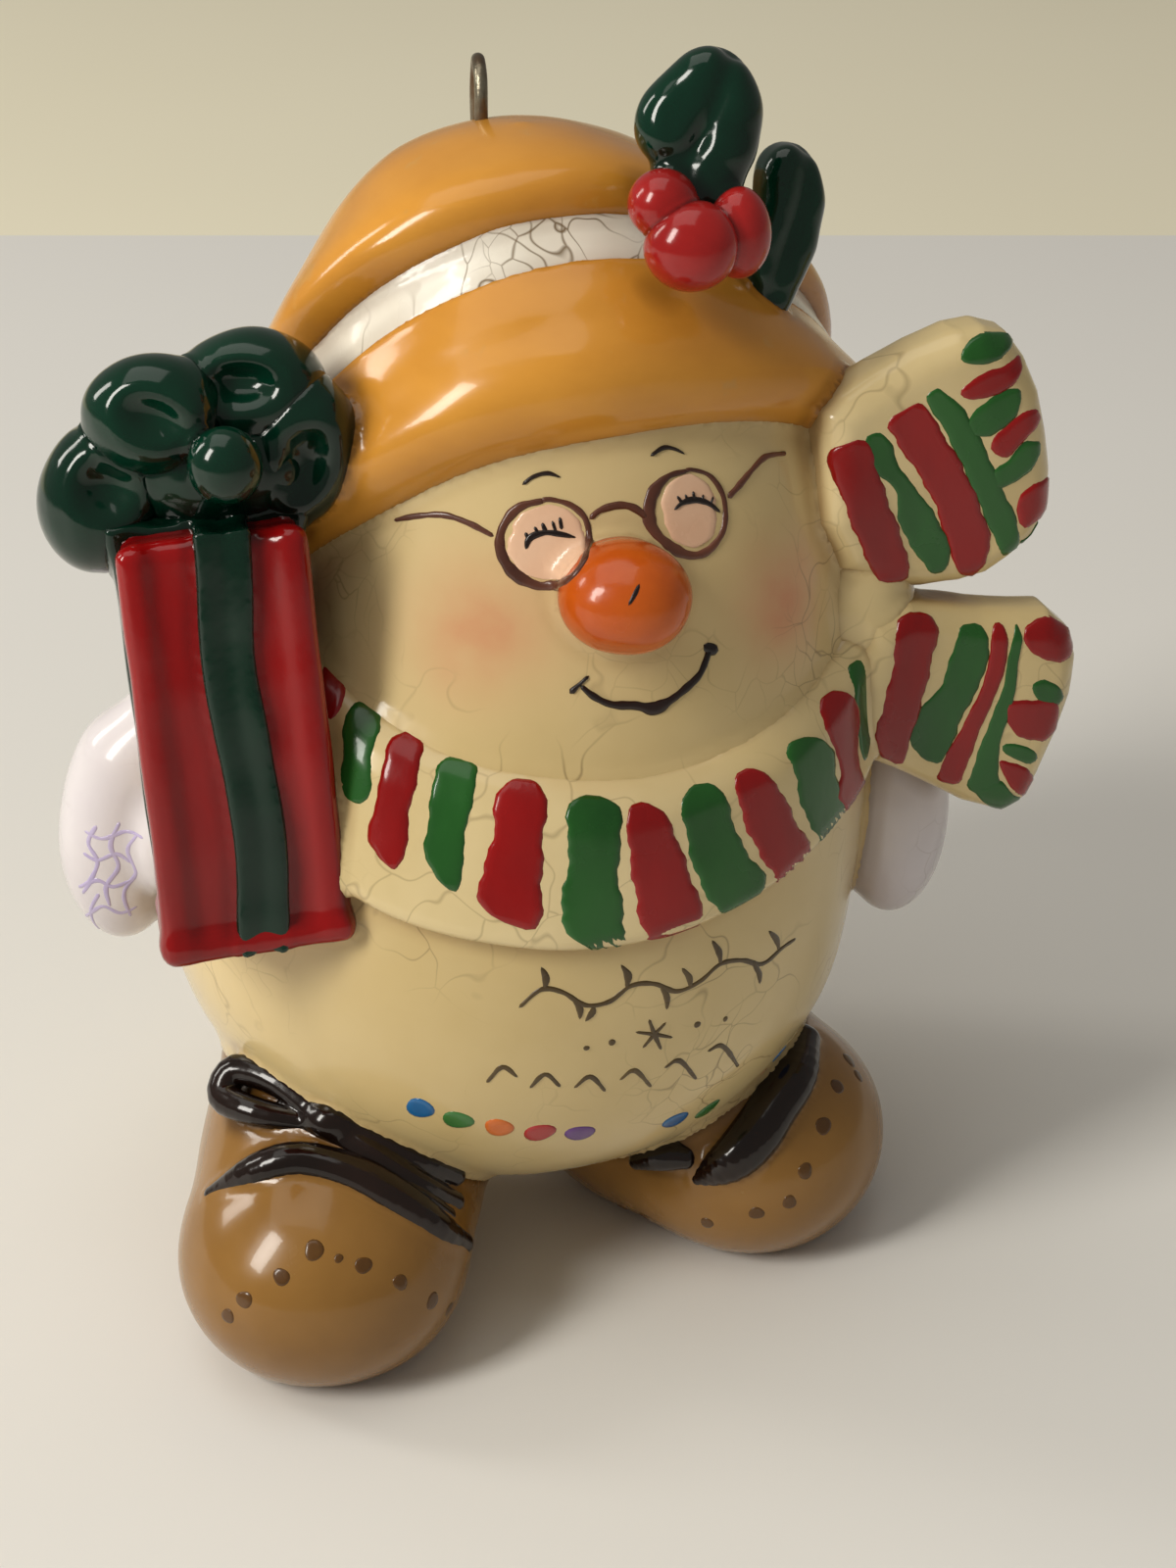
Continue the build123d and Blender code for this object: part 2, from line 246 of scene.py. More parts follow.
RU = np.array([[0.9458, 0.1045, -0.3073], [-0.0994, 0.9945, 0.0323], [0.309, 0, 0.9511]])
RL = np.array([[0.9794, 0.1045, 0.1727], [-0.1029, 0.9945, -0.0182], [-0.1736, 0, 0.9848]])
CU = np.array([21.3, -13.8, 51.4]); CL = np.array([24.1, -15.0, 35.8])


UP_OUT = [(-6.8, 4.2), (-5.9, 6.5), (-4.5, 7.0), (-2.2, 7.5), (0.2, 7.9), (2.5, 8.0), (4.1, 7.6), (5.4, 6.6), (6.1, 4.7), (6.4, 2.5), (6.3, 0.0),
          (6.0, -2.5), (5.3, -4.8), (3.9, -6.1), (2.2, -6.9), (0.6, -7.4), (-1.1, -7.3), (-3.2, -6.6), (-5.4, -5.2), (-7.5, -3.0), (-8.0, 0.5)]
LO_OUT = [(-9.0, 6.0), (-6.5, 7.0), (-1.6, 6.7), (0.6, 6.8), (2.7, 6.9), (4.4, 5.8), (5.3, 4.1), (5.5, 1.7), (5.3, -0.9), (4.9, -3.9), (4.3, -5.7), (2.8, -6.5),
          (0.2, -6.1), (-2.4, -5.0), (-4.6, -4.1), (-6.6, -3.3), (-8.6, -1.2), (-9.2, 2.5)]


def outline(x, z, P):
    """signed distance to a closed outline"""
    P = np.asarray(P, float); d = None; ins = np.zeros(x.shape, bool)
    for i in range(len(P)):
        a, b = P[i], P[(i + 1) % len(P)]; e = b - a; wx, wz = x - a[0], z - a[1]
        t = np.clip((wx * e[0] + wz * e[1]) / (e @ e), 0, 1); dd = (wx - e[0] * t) ** 2 + (wz - e[1] * t) ** 2
        d = dd if d is None else np.minimum(d, dd)
        c = (a[1] > z) != (b[1] > z); xi = a[0] + (z - a[1]) * (b[0] - a[0]) / (b[1] - a[1] if b[1] != a[1] else 1e-9)
        ins ^= c & (x < xi)
    d = np.sqrt(d)
    return np.where(ins, -d, d)


def slab(p, c, R, out, thick, rad):
    q = (p - c) @ R
    bend = 0.3 * np.sin(q[..., 0] * 0.5) + 0.15 * np.sin(q[..., 2] * 0.55 + 1)
    e = np.stack([outline(q[..., 0], q[..., 2], out) + rad, np.abs(q[..., 1] + bend) - (thick - rad)], -1)
    return np.hypot(np.maximum(e[..., 0], 0), np.maximum(e[..., 1], 0)) + np.minimum(e.max(-1), 0) - rad


def d_tail_up(p): return slab(p, CU, RU, UP_OUT, 2.2, 1.7) + 0.1 * wob(p, 0.7, 10)
def d_tail_low(p): return slab(p, CL, RL, LO_OUT, 2.2, 1.7) + 0.1 * wob(p, 0.7, 11)


def d_rmitt(p):
    a = ell(p, loc(-24.0, 2.0, 26.0), (3.9, 4.3, 7.7), F3 @ roty(4))
    b = rcone(p, loc(-21.5, 2, 31.5), loc(-19.6, 2, 36), 3.2, 2.4)
    th = ell(p, loc(-21.0, 5.2, 27.5), (1.7, 2.2, 3.6), F3 @ roty(10))
    return smin(smin(a, b, 2.5), th, 1.2) + 0.12 * wob(p, 0.55, 12)


def d_lmitt(p): return ell(p, loc(24.3, -1.0, 25.5), (3.6, 4.4, 7.0), F3) + 0.1 * wob(p, 0.5, 13)


GC = np.array([-19.9, -8.2, 40.7]); GR = np.array([[0.9789, 0.2041, 0.0055], [-0.2013, 0.9602, 0.1938], [0.0343, -0.1908, 0.981]])


def d_gift(p):
    q = (p - GC) @ GR
    bow_out = 0.25 * np.cos(np.clip(q[..., 2] / 11.8, -1, 1) * 1.5)
    hx = 4.75 + 0.35 * sstep(4, 11.5, -q[..., 2])
    d = np.stack([np.abs(q[..., 0]) - hx + 0.9, np.abs(q[..., 1]) - 3.95 - bow_out * 0.6 + 0.9, np.abs(q[..., 2]) - 11.7 + 0.9], -1)
    a = np.sqrt((np.maximum(d, 0) ** 2).sum(-1)) + np.minimum(d.max(-1), 0) - 0.9
    lip = rbox(p, GC + GR @ np.array([0, -0.1, -11.35]), (5.25, 4.3, 0.7), 0.6, GR)
    edge = np.minimum(rbox(p, GC + GR @ np.array([-4.35, -3.7, 0]), (0.75, 0.7, 11.6), 0.6, GR), rbox(p, GC + GR @ np.array([4.25, -3.6, 0]), (0.75, 0.7, 11.6), 0.6, GR))
    return smin(smin(a, lip, 0.7), edge, 0.9) + 0.10 * wob(p, 0.7, 14)


def d_ribbon(p):
    q = (p - GC) @ GR
    x = q[..., 0] - 0.4 + 0.25 * np.sin(q[..., 2] * 0.35)
    shell = np.maximum(np.abs(q[..., 0]) - 5.2, np.maximum(np.abs(q[..., 1]) - 4.5, np.abs(q[..., 2]) - 12.1))
    v = np.abs(x) - 1.55; u = np.abs(q[..., 1] + 0.3) - 1.4
    d = smax(shell, np.minimum(v, u), 0.45)
    groove = 0.15 * np.exp(-((x) / 0.62) ** 2)
    return d + groove + 0.06 * wob(p, 0.9, 15)


BC = loc(-16.4, 13.0, 55.6)
LOBES = [  # centre, radii, tilt about toward axis, hollow centre, hollow radii
    (loc(-18.1, 13.2, 58.4), (3.7, 3.2, 3.1), -12, loc(-17.6, 17.0, 59.0), (2.1, 2.1, 1.25), 25),
    (loc(-21.3, 12.8, 53.4), (3.4, 3.4, 4.3), 18, loc(-20.3, 16.6, 55.0), (1.9, 2.1, 1.6), 20),
    (loc(-13.2, 10.9, 59.0), (4.1, 3.3, 3.0), -8, loc(-13.3, 14.4, 60.0), (2.2, 2.1, 1.15), 0),
    (loc(-10.7, 11.6, 55.2), (2.9, 3.2, 4.6), 22, loc(-10.0, 15.0, 55.8), (1.5, 2.0, 2.2), 20),
]


def lobe(i):
    c, r, a, hc, hr, ha = LOBES[i]
    def f(p):
        d = ell(p, c, r, F3 @ roty(a)) + 0.12 * wob(p, 0.8, 16 + i)
        return smax(d, -ell(p, hc, hr, F3 @ roty(ha)), 1.1)
    return f


def d_bknot(p):
    base = ell(p, loc(-15.3, 12.4, 54.8), (5.2, 3.0, 3.4), F3) + 0.1 * wob(p, 0.8, 19)
    return smin(ell(p, loc(-14.0, 16.2, 56.6), (2.0, 1.9, 2.1), F3), base, 0.8)




def shoe(x, y, th, s):
    S = rotz(th); toe = S @ np.array([0, -1, 0])
    def f(p):
        a = ell(p, (x, y, 6.3), (8.7, 12.0, 7.9), S)
        tip = ell(p, np.array([x, y, 5.6]) + toe * 5.0, (8.3, 7.4, 6.9), S)
        b = ell(p, (x * 0.85, y * 0.45, 9.0), (8.2, 8.2, 10.0), S)
        tongue = ell(p, np.array([x, y, 9.6]) + toe * -0.5, (6.2, 6.5, 5.2), S)
        d = smin(smin(smin(a, tip, 2.5), b, 3.5), tongue, 3.0)
        return smax(d, -p[..., 2], 1.2) + 0.10 * wob(p, 0.4, 20 + s)
    return f


d_rshoe = shoe(-15.5, -8.9, -32.0, 0)
d_lshoe = shoe(9.5, -8.3, 32.0, 1)
RL_STRAP = [(-23.6, -10.4, 10.6), (-21.2, -12.1, 12.9), (-18.9, -13.2, 13.7), (-16.4, -14.9, 13.1), (-14.4, -16.3, 11.7), (-12.2, -17.0, 9.2), (-10.2, -16.3, 6.9)]


def d_rstrap(p):
    return tube(p, RL_STRAP, [0.7, 1.15, 1.2, 1.2, 1.25, 1.2, 0.8], 0.6)


def d_rbow(p):
    l1 = tube(p, [(-16.9, -11.7, 14.9), (-18.6, -8.7, 16.3), (-20.5, -6.3, 16.2), (-21.6, -6.9, 15.0), (-20.3, -9.3, 15.0), (-17.0, -11.7, 14.6)], [0.8, 0.95, 1.0, 1.0, 0.9, 0.8], 0.5)
    l2 = tube(p, [(-16.7, -11.8, 15.0), (-15.2, -10.3, 15.9), (-13.4, -10.8, 15.3), (-13.6, -12.3, 14.3), (-16.5, -11.9, 14.6)], 0.8, 0.5)
    kn = ell(p, (-16.5, -11.9, 15.1), (1.7, 1.5, 1.4), rotz(-30))
    ta = tube(p, [(-16.2, -12.2, 15.0), (-14.2, -13.6, 13.9), (-12.0, -14.4, 12.3), (-9.8, -14.3, 10.5)], [0.9, 1.0, 0.95, 0.7], 0.4)
    tb = tube(p, [(-16.2, -12.6, 14.6), (-14.6, -14.4, 13.4), (-12.5, -15.4, 11.5), (-10.2, -15.2, 9.3)], [0.9, 0.95, 0.9, 0.7], 0.4)
    tc = tube(p, [(-16.4, -12.8, 14.4), (-15.0, -14.6, 13.2), (-13.0, -16.0, 11.3), (-11.0, -16.1, 9.2)], [0.8, 0.8, 0.8, 0.6], 0.4)
    return smin(smin(smin(l1, l2, 0.5), kn, 0.5), np.minimum(np.minimum(ta, tb), tc), 0.4)


def d_lstrap(p):
    return tube(p, [(5.7, -16.9, 7.4), (7.2, -17.8, 8.8), (8.7, -17.8, 10.0), (10.3, -17.2, 11.2), (12.6, -15.9, 12.3), (14.6, -13.4, 12.8)], [0.9, 1.5, 1.7, 1.6, 1.4, 1.0], 0.6)


def d_lend(p):
    return tube(p, [(2.4, -14.6, 8.0), (3.6, -15.4, 8.6), (4.9, -16.2, 8.6)], [0.6, 1.0, 0.8], 0.5)


def leaf(c, R, pts, rad, thick, crease):
    """lobed leaf: blobs joined in its own plane, pillowed, with a crease"""
    pts = np.asarray(pts, float)
    def f(p):
        q = (p - c) @ R
        fl = None
        for x, z, r in pts:
            e = np.hypot(q[..., 0] - x, q[..., 2] - z) - r
            fl = e if fl is None else smin(fl, e, 1.0)
        e = np.stack([fl + rad, np.abs(q[..., 1] - 0.02 * q[..., 0] ** 2) - thick + rad * 0.95], -1)
        d = np.hypot(np.maximum(e[..., 0], 0), np.maximum(e[..., 1], 0)) + np.minimum(e.max(-1), 0) - rad
        cr = crease * np.exp(-((q[..., 0] - 0.15 * q[..., 2] - 0.2 - 0.3 * np.sin(q[..., 2] * 0.6)) / 0.6) ** 2) * sstep(0.0, 0.6, -q[..., 1])
        return d + cr
    return f


LFR = F3 @ rotx(-18) @ roty(8)
d_leaf1 = leaf(loc(10.9, 6.2, 71.5), LFR, [(0.2, 2.0, 2.3), (1.2, 0.9, 2.0), (-1.3, 0.6, 2.0), (-1.6, -0.4, 1.7), (1.4, -0.9, 1.7), (0.2, -2.6, 2.0), (1.0, -3.0, 1.5), (-0.6, -3.0, 1.5)], 1.5, 1.9, 0.30)
LRR = F3 @ rotz(20) @ rotx(-10) @ roty(6)
d_leaf2 = leaf(loc(15.5, 2.2, 64.6), LRR, [(0.3, 3.2, 1.6), (0.6, 1.6, 1.9), (0.2, -0.4, 2.0), (-0.2, -2.2, 1.6), (-0.4, -3.8, 1.1)], 1.1, 1.5, 0.26)
BERRIES = [(loc(10.4, 10.9, 66.7), (2.5, 2.3, 2.4)), (loc(12.9, 9.3, 66.9), (1.75, 1.9, 2.45)), (loc(8.9, 9.6, 68.6), (1.9, 1.9, 1.8))]


def berry(i):
    c, r = BERRIES[i]
    return lambda p: ell(p, c, r, F3 @ roty(0)) + 0.06 * wob(p, 1.1, 30 + i)


# name, distance, blend radius with what is under it, bounding centre and half size
PIECES = [
    ("body_shell", d_body, 1.0, (0.5, 0, 36), (25, 24, 34)),
    ("right_shoe", d_rshoe, 1.6, (-14.5, -7, 9), (14, 17, 11)),
    ("left_shoe", d_lshoe, 1.6, (9, -7, 9), (14, 17, 11)),
    ("hat_brim", d_brim, 0.9, (3, -5, 55), (24, 15, 14)),
    ("hat_band", d_band, 0.35, (3, 0, 57), (24, 15, 13)),
    ("hat_crown", d_crown, 0.6, (3, 5, 59), (23, 17, 15)),
    ("scarf_wrap", d_scarf, 0.7, (1, -2, 42), (25, 24, 15)),
    ("nose", d_nose, 1.2, (-0.5, -18.4, 49.3), (5, 5, 5)),
    ("scarf_knot", d_knot, 1.2, (17.0, -12.6, 42.6), (6, 6, 7)),
    ("scarf_tail_upper", d_tail_up, 0.8, (21.3, -13.8, 51.4), (11, 6, 11)),
    ("scarf_tail_lower", d_tail_low, 0.8, (24.1, -15.0, 35.8), (11, 6, 11)),
    ("left_mitten", d_lmitt, 1.2, (22.6, -9, 25.5), (6, 7, 9)),
    ("right_mitten", d_rmitt, 1.2, (-22.0, 6.5, 29), (8, 9, 13)),
    ("gift_box", d_gift, 0.7, (-19.9, -8.2, 40.7), (9, 10, 15)),
    ("gift_ribbon", d_ribbon, 0.3, (-19.9, -8.2, 40.7), (9, 10, 15)),
    ("bow_loop_outer", lobe(1), 0.9, tuple(LOBES[1][0]), (6, 6, 7)),
    ("bow_loop_inner", lobe(3), 0.9, tuple(LOBES[3][0]), (6, 6, 7)),
    ("bow_loop_top", lobe(2), 0.9, tuple(LOBES[2][0]), (7, 6, 6)),
    ("bow_loop_left", lobe(0), 0.9, tuple(LOBES[0][0]), (6, 6, 6)),
    ("gift_bow_knot", d_bknot, 0.7, tuple(loc(-14.8, 14.2, 55.6)), (7, 6, 5)),
    ("right_lace_strap", d_rstrap, 0.4, (-17, -13.5, 10.5), (9, 6, 6)),
    ("right_lace_bow", d_rbow, 0.4, (-16, -11.5, 13), (9, 8, 7)),
    ("left_lace_strap", d_lstrap, 0.4, (10, -16, 10), (8, 6, 6)),
    ("left_lace_end", d_lend, 0.4, (3.6, -15.4, 8.4), (4, 4, 4)),
    ("holly_leaf_rear", d_leaf2, 0.5, (13.4, -8.1, 64.6), (6, 6, 8)),
    ("holly_leaf_front", d_leaf1, 0.5, (7.4, -10.1, 71.5), (6, 6, 8)),
    ("berry_upper", berry(2), 0.35, tuple(BERRIES[2][0]), (4, 4, 4)),
    ("berry_side", berry(1), 0.35, tuple(BERRIES[1][0]), (4, 4, 4)),
    ("berry_front", berry(0), 0.35, tuple(BERRIES[0][0]), (4, 4, 4)),
]
NAMES = [q[0] for q in PIECES]


def near(i, lo, hi, pad=2.0):
    c, h = np.array(PIECES[i][3]), np.array(PIECES[i][4])
    return np.all(c - h - pad < hi) and np.all(c + h + pad > lo)


def total(p, only=None):
    """the whole figure's surface, all joints softened"""
    lo, hi = p.reshape(-1, 3).min(0), p.reshape(-1, 3).max(0); F = None
    for i, (nm, f, k, c, h) in enumerate(PIECES):
        if i and not near(i, lo, hi): continue
        d = f(p); F = d if F is None else smin(F, d, k)
    return F


def piece(i, p):
    """distance to the surface shown by piece i: its own share of the whole surface"""
    lo, hi = p.reshape(-1, 3).min(0), p.reshape(-1, 3).max(0)
    F = None; low = None; high = None; own = None; ki = PIECES[i][2]
    for j, (nm, f, k, c, h) in enumerate(PIECES):
        if j and j != i and not near(j, lo, hi): continue
        d = f(p)
        F = d if F is None else smin(F, d, k)
        if j == i: own = d
        elif j < i: low = d if low is None else np.minimum(low, d)
        else: high = d if high is None else np.minimum(high, d)
    D = F
    if high is not None: D = D + 0.16 * sstep(-0.05, 0.30, own - high)
    D = np.maximum(D, own - 0.9)
    if low is not None:
        W = (own - low) * 0.5 - 0.06
        D = smax(D, np.maximum(W, -2.2 - low), 0.42)
    return D

# ---- brushwork, as points on the glazed surface ----------------------------------------------
CHEEK_AT = [(-7.3, -14.2, 47.0), (10.1, -16.6, 46.3)]
CHEEK_R = [3.4, 3.3]
PATCHES = {
    "red": [
        ("scarf", [(-13.8, -8.1, 43.9), (-14.4, -8.1, 43.2), (-15.2, -9.1, 42.3), (-15.5, -10.3, 41.1)],
         [(-13.3, -8.7, 44.1), (-13.1, -9.6, 43.4), (-13.8, -10.3, 42.2), (-14.7, -11.1, 41.3)]),
        ("scarf", [(-11.5, -13.3, 41.2), (-12.6, -13.6, 40.8), (-13.7, -14.7, 38.6), (-14.5, -15.0, 36.3), (-14.4, -15.7, 35.3), (-13.8, -16.6, 34.6)],
         [(-10.9, -13.6, 41.5), (-10.7, -14.4, 40.8), (-11.7, -15.8, 39.4), (-12.5, -16.4, 37.4), (-12.9, -16.9, 35.6), (-13.6, -16.9, 34.6)]),
        ("scarf", [(-7.0, -17.9, 39.6), (-8.2, -18.3, 38.9), (-8.8, -19.2, 36.8), (-9.8, -19.5, 34.4), (-9.9, -19.9, 33.3), (-9.5, -20.4, 32.5)],
         [(-5.8, -18.4, 39.4), (-5.6, -19.5, 38.7), (-6.2, -20.4, 37.1), (-6.5, -20.9, 35.0), (-6.7, -21.3, 33.1), (-7.1, -21.7, 31.5)]),
        ("scarf", [(-1.6, -21.0, 38.1), (-1.9, -21.8, 36.4), (-1.8, -22.4, 33.7), (-1.6, -22.8, 31.7), (-0.8, -21.8, 29.3)],
         [(-0.4, -21.0, 38.2), (0.6, -21.8, 37.2), (1.3, -22.3, 35.1), (2.0, -22.8, 32.6), (2.8, -21.7, 29.4)]),
        ("scarf", [(4.8, -21.0, 38.5), (5.2, -21.8, 35.9), (6.5, -22.1, 33.0), (8.1, -20.4, 29.7)],
         [(6.2, -20.7, 38.7), (7.8, -21.1, 37.1), (9.1, -21.1, 34.4), (10.8, -19.0, 30.2), (10.2, -19.4, 29.7)]),
        ("scarf", [(12.7, -17.6, 40.5), (11.5, -18.4, 40.0), (11.9, -19.2, 38.5), (12.8, -19.1, 36.1), (12.5, -19.5, 34.3), (14.8, -16.4, 30.6)],
         [(13.7, -17.6, 40.2), (15.0, -17.2, 38.5), (14.7, -17.7, 36.8), (15.0, -17.8, 34.5), (16.7, -14.5, 30.7), (15.0, -16.1, 30.5)]),
        ("scarf", [(15.7, -14.2, 42.4), (15.1, -15.0, 42.0), (15.5, -15.6, 41.6), (15.9, -16.2, 40.6)],
         [(16.1, -14.2, 42.4), (16.6, -14.8, 41.9), (16.7, -15.5, 40.8), (16.6, -15.7, 39.6)]),
        ("tail", [(15.0, -15.0, 54.5), (13.6, -14.2, 53.4), (14.0, -15.1, 51.6), (15.0, -15.5, 48.9), (16.8, -15.3, 45.3)],
         [(15.8, -15.1, 54.3), (16.2, -15.2, 53.4), (17.0, -15.5, 50.9), (18.3, -15.4, 47.9), (19.2, -15.1, 45.0)]),
        ("tail", [(18.5, -15.5, 56.3), (16.9, -15.2, 55.2), (17.3, -15.3, 54.2), (19.6, -15.7, 50.6), (21.2, -15.6, 46.9), (22.0, -15.5, 45.1)],
         [(19.0, -15.6, 56.1), (19.7, -15.8, 55.0), (21.6, -16.2, 51.9), (23.3, -16.2, 48.3), (23.7, -16.2, 46.6), (23.1, -15.2, 44.6)]),
        ("tail", [(20.8, -16.0, 56.6), (21.2, -16.1, 57.1), (22.6, -16.3, 57.8), (25.0, -15.4, 58.1)],
         [(21.3, -16.1, 56.2), (22.0, -16.3, 56.1), (23.9, -16.5, 56.5), (25.0, -16.0, 57.5)]),
        ("tail", [(22.7, -16.5, 53.3), (23.3, -16.6, 54.1), (24.5, -16.7, 55.0), (25.9, -16.3, 55.1)],
         [(23.4, -16.6, 52.5), (24.1, -16.7, 52.5), (25.4, -16.8, 53.6), (26.5, -16.0, 54.3)]),
        ("tail", [(24.7, -16.6, 49.6), (25.3, -16.7, 50.3), (26.4, -16.6, 50.6), (27.4, -15.8, 50.6)],
         [(25.4, -16.5, 47.4), (26.1, -16.5, 47.7), (27.1, -16.0, 48.1), (27.4, -15.8, 49.5)]),
        ("tail", [(18.2, -15.9, 43.5), (17.6, -16.3, 42.9), (17.2, -16.7, 40.0), (16.5, -16.8, 36.9), (17.0, -16.4, 34.6), (18.5, -15.8, 33.4)],
         [(20.0, -15.7, 43.2), (20.5, -16.3, 42.3), (19.9, -16.6, 39.4), (19.3, -16.6, 36.6), (18.9, -16.4, 34.6), (18.9, -16.0, 33.4)]),
        ("tail", [(24.0, -16.5, 42.0), (23.7, -16.9, 41.0), (23.4, -17.1, 38.8), (22.4, -16.9, 36.0), (21.2, -16.5, 33.1), (21.1, -16.0, 31.7)],
         [(24.6, -16.6, 42.0), (24.8, -17.3, 40.6), (24.4, -17.4, 38.4), (23.5, -17.2, 35.6), (22.7, -16.9, 32.2), (22.5, -16.6, 31.3)]),
        ("tail", [(25.6, -17.3, 41.1), (26.2, -17.0, 41.8), (28.1, -16.7, 41.6), (29.1, -16.7, 40.6)],
         [(25.8, -17.5, 40.5), (26.7, -17.7, 39.6), (28.7, -17.7, 39.0), (29.6, -16.6, 39.5)]),
        ("tail", [(24.9, -17.6, 35.8), (24.9, -17.6, 37.0), (26.4, -17.9, 37.1), (28.3, -18.0, 36.6)],
         [(24.9, -17.6, 35.6), (25.8, -17.7, 34.5), (27.2, -17.9, 33.9), (28.6, -17.3, 34.2)]),
        ("tail", [(24.6, -17.4, 33.2), (25.3, -17.5, 32.9), (26.7, -17.7, 32.1), (27.5, -17.0, 31.0)],
         [(24.8, -17.4, 32.4), (25.6, -17.5, 31.0), (26.9, -17.0, 29.7), (27.1, -17.1, 30.5)]),
    ],
    "green": [
        ("scarf", [(-13.4, -10.6, 42.2), (-14.4, -11.3, 41.4), (-14.8, -12.3, 40.1), (-15.3, -12.6, 38.8), (-15.3, -13.1, 37.9), (-14.9, -13.9, 37.6)],
         [(-12.3, -11.3, 42.5), (-12.1, -12.1, 41.9), (-13.2, -13.3, 40.6), (-13.8, -14.2, 39.3), (-14.0, -14.5, 38.2), (-14.5, -14.3, 37.6)]),
        ("scarf", [(-9.9, -15.4, 40.4), (-10.9, -16.0, 39.7), (-11.6, -16.9, 37.8), (-12.1, -17.3, 36.0), (-11.9, -18.0, 34.7), (-11.4, -18.8, 33.9)],
         [(-8.8, -16.1, 40.4), (-8.5, -16.9, 39.8), (-9.6, -18.2, 38.0), (-10.1, -18.5, 36.3), (-10.4, -19.0, 34.9), (-10.8, -19.2, 33.7)]),
        ("scarf", [(-3.9, -19.8, 38.8), (-5.0, -20.4, 38.0), (-5.1, -21.1, 36.0), (-5.7, -21.5, 33.6), (-5.9, -21.8, 32.2), (-5.2, -22.3, 30.8)],
         [(-2.4, -20.3, 38.5), (-1.9, -21.2, 37.8), (-2.2, -21.8, 36.3), (-2.5, -22.1, 34.7), (-2.4, -22.7, 32.1), (-2.1, -21.7, 29.5)]),
        ("scarf", [(2.1, -20.9, 38.5), (1.4, -21.7, 37.5), (1.6, -22.2, 35.3), (2.0, -22.6, 33.3), (3.2, -22.9, 31.1), (4.6, -21.5, 29.6)],
         [(3.8, -21.0, 38.4), (4.4, -21.7, 37.1), (5.1, -22.0, 34.6), (6.5, -22.2, 32.4), (6.6, -22.2, 31.4), (5.3, -21.3, 29.5)]),
        ("scarf", [(9.6, -19.7, 39.2), (8.6, -20.2, 38.9), (9.0, -20.8, 36.9), (9.8, -20.8, 34.2), (11.8, -18.5, 30.4)],
         [(11.3, -19.4, 38.7), (12.4, -19.2, 37.2), (12.7, -19.3, 35.2), (13.8, -17.1, 30.8), (12.4, -18.1, 30.0)]),
        ("scarf", [(15.1, -16.1, 41.2), (14.3, -16.7, 40.9), (14.4, -17.6, 39.1), (14.8, -17.7, 36.5), (15.2, -17.6, 35.2)],
         [(15.8, -15.9, 41.1), (16.5, -15.8, 39.7), (16.3, -16.3, 37.4), (16.1, -16.7, 36.0), (15.5, -17.4, 35.1)]),
        ("tail", [(16.2, -15.1, 54.7), (15.6, -15.1, 54.4), (16.0, -15.3, 52.6), (17.4, -15.5, 51.2), (18.0, -15.4, 48.6), (20.3, -15.3, 45.2)],
         [(16.6, -15.2, 54.7), (17.3, -15.3, 53.8), (17.9, -15.5, 52.3), (20.2, -15.7, 49.2), (21.4, -15.7, 46.8), (21.2, -15.5, 45.3)]),
        ("tail", [(19.6, -15.7, 57.1), (19.0, -15.6, 56.4), (20.3, -16.0, 54.1), (21.9, -16.2, 51.0), (23.6, -16.2, 47.6), (24.6, -16.1, 45.8)],
         [(19.9, -15.8, 56.9), (21.3, -16.2, 55.6), (22.6, -16.5, 53.3), (24.2, -16.6, 50.1), (25.1, -16.6, 48.4), (25.7, -15.9, 46.3)]),
        ("tail", [(20.8, -15.9, 58.6), (21.2, -15.7, 59.3), (22.6, -15.3, 59.7), (24.6, -14.9, 59.0)],
         [(21.1, -16.1, 58.3), (22.1, -16.2, 58.1), (23.3, -16.3, 58.3), (24.9, -14.9, 58.7)]),
        ("tail", [(21.3, -16.2, 54.6), (21.8, -16.3, 55.5), (23.0, -16.4, 56.4), (24.7, -16.4, 56.6)],
         [(21.8, -16.3, 53.9), (23.1, -16.6, 53.9), (24.2, -16.7, 54.6), (24.7, -16.6, 55.7)]),
        ("tail", [(23.0, -16.5, 51.8), (24.0, -16.7, 52.4), (24.9, -16.8, 53.3), (26.3, -16.4, 53.1)],
         [(23.3, -16.5, 50.5), (24.3, -16.7, 50.6), (25.6, -16.8, 51.4), (26.3, -16.6, 52.3)]),
        ("tail", [(25.4, -16.4, 46.9), (26.4, -16.0, 47.0), (27.0, -16.0, 47.9)],
         [(25.8, -15.9, 46.4), (26.2, -16.1, 46.9), (26.7, -16.0, 47.5)]),
        ("tail", [(21.8, -16.2, 42.2), (21.4, -16.5, 40.9), (20.6, -16.7, 38.6), (19.3, -16.7, 37.2), (18.9, -16.5, 35.3), (19.9, -16.3, 33.6)],
         [(23.3, -16.3, 42.1), (23.7, -16.9, 41.0), (23.4, -17.1, 38.8), (22.6, -17.0, 37.0), (21.8, -16.7, 34.4), (21.3, -16.5, 32.9)]),
        ("tail", [(25.4, -16.7, 42.0), (24.8, -17.3, 40.2), (24.5, -17.4, 38.1), (23.8, -17.2, 35.5), (23.0, -16.9, 32.2), (22.9, -16.7, 30.9)],
         [(25.7, -17.3, 41.1), (25.4, -17.5, 39.3), (25.2, -17.7, 37.1), (24.7, -17.5, 34.4), (24.8, -17.4, 32.0), (25.7, -17.3, 29.9)]),
        ("tail", [(23.1, -16.9, 31.3), (24.0, -17.2, 31.4), (24.8, -17.4, 31.7), (25.9, -17.5, 30.3)],
         [(23.9, -16.9, 30.3), (25.3, -16.5, 29.1), (26.2, -16.9, 29.4), (26.9, -17.0, 29.9)]),
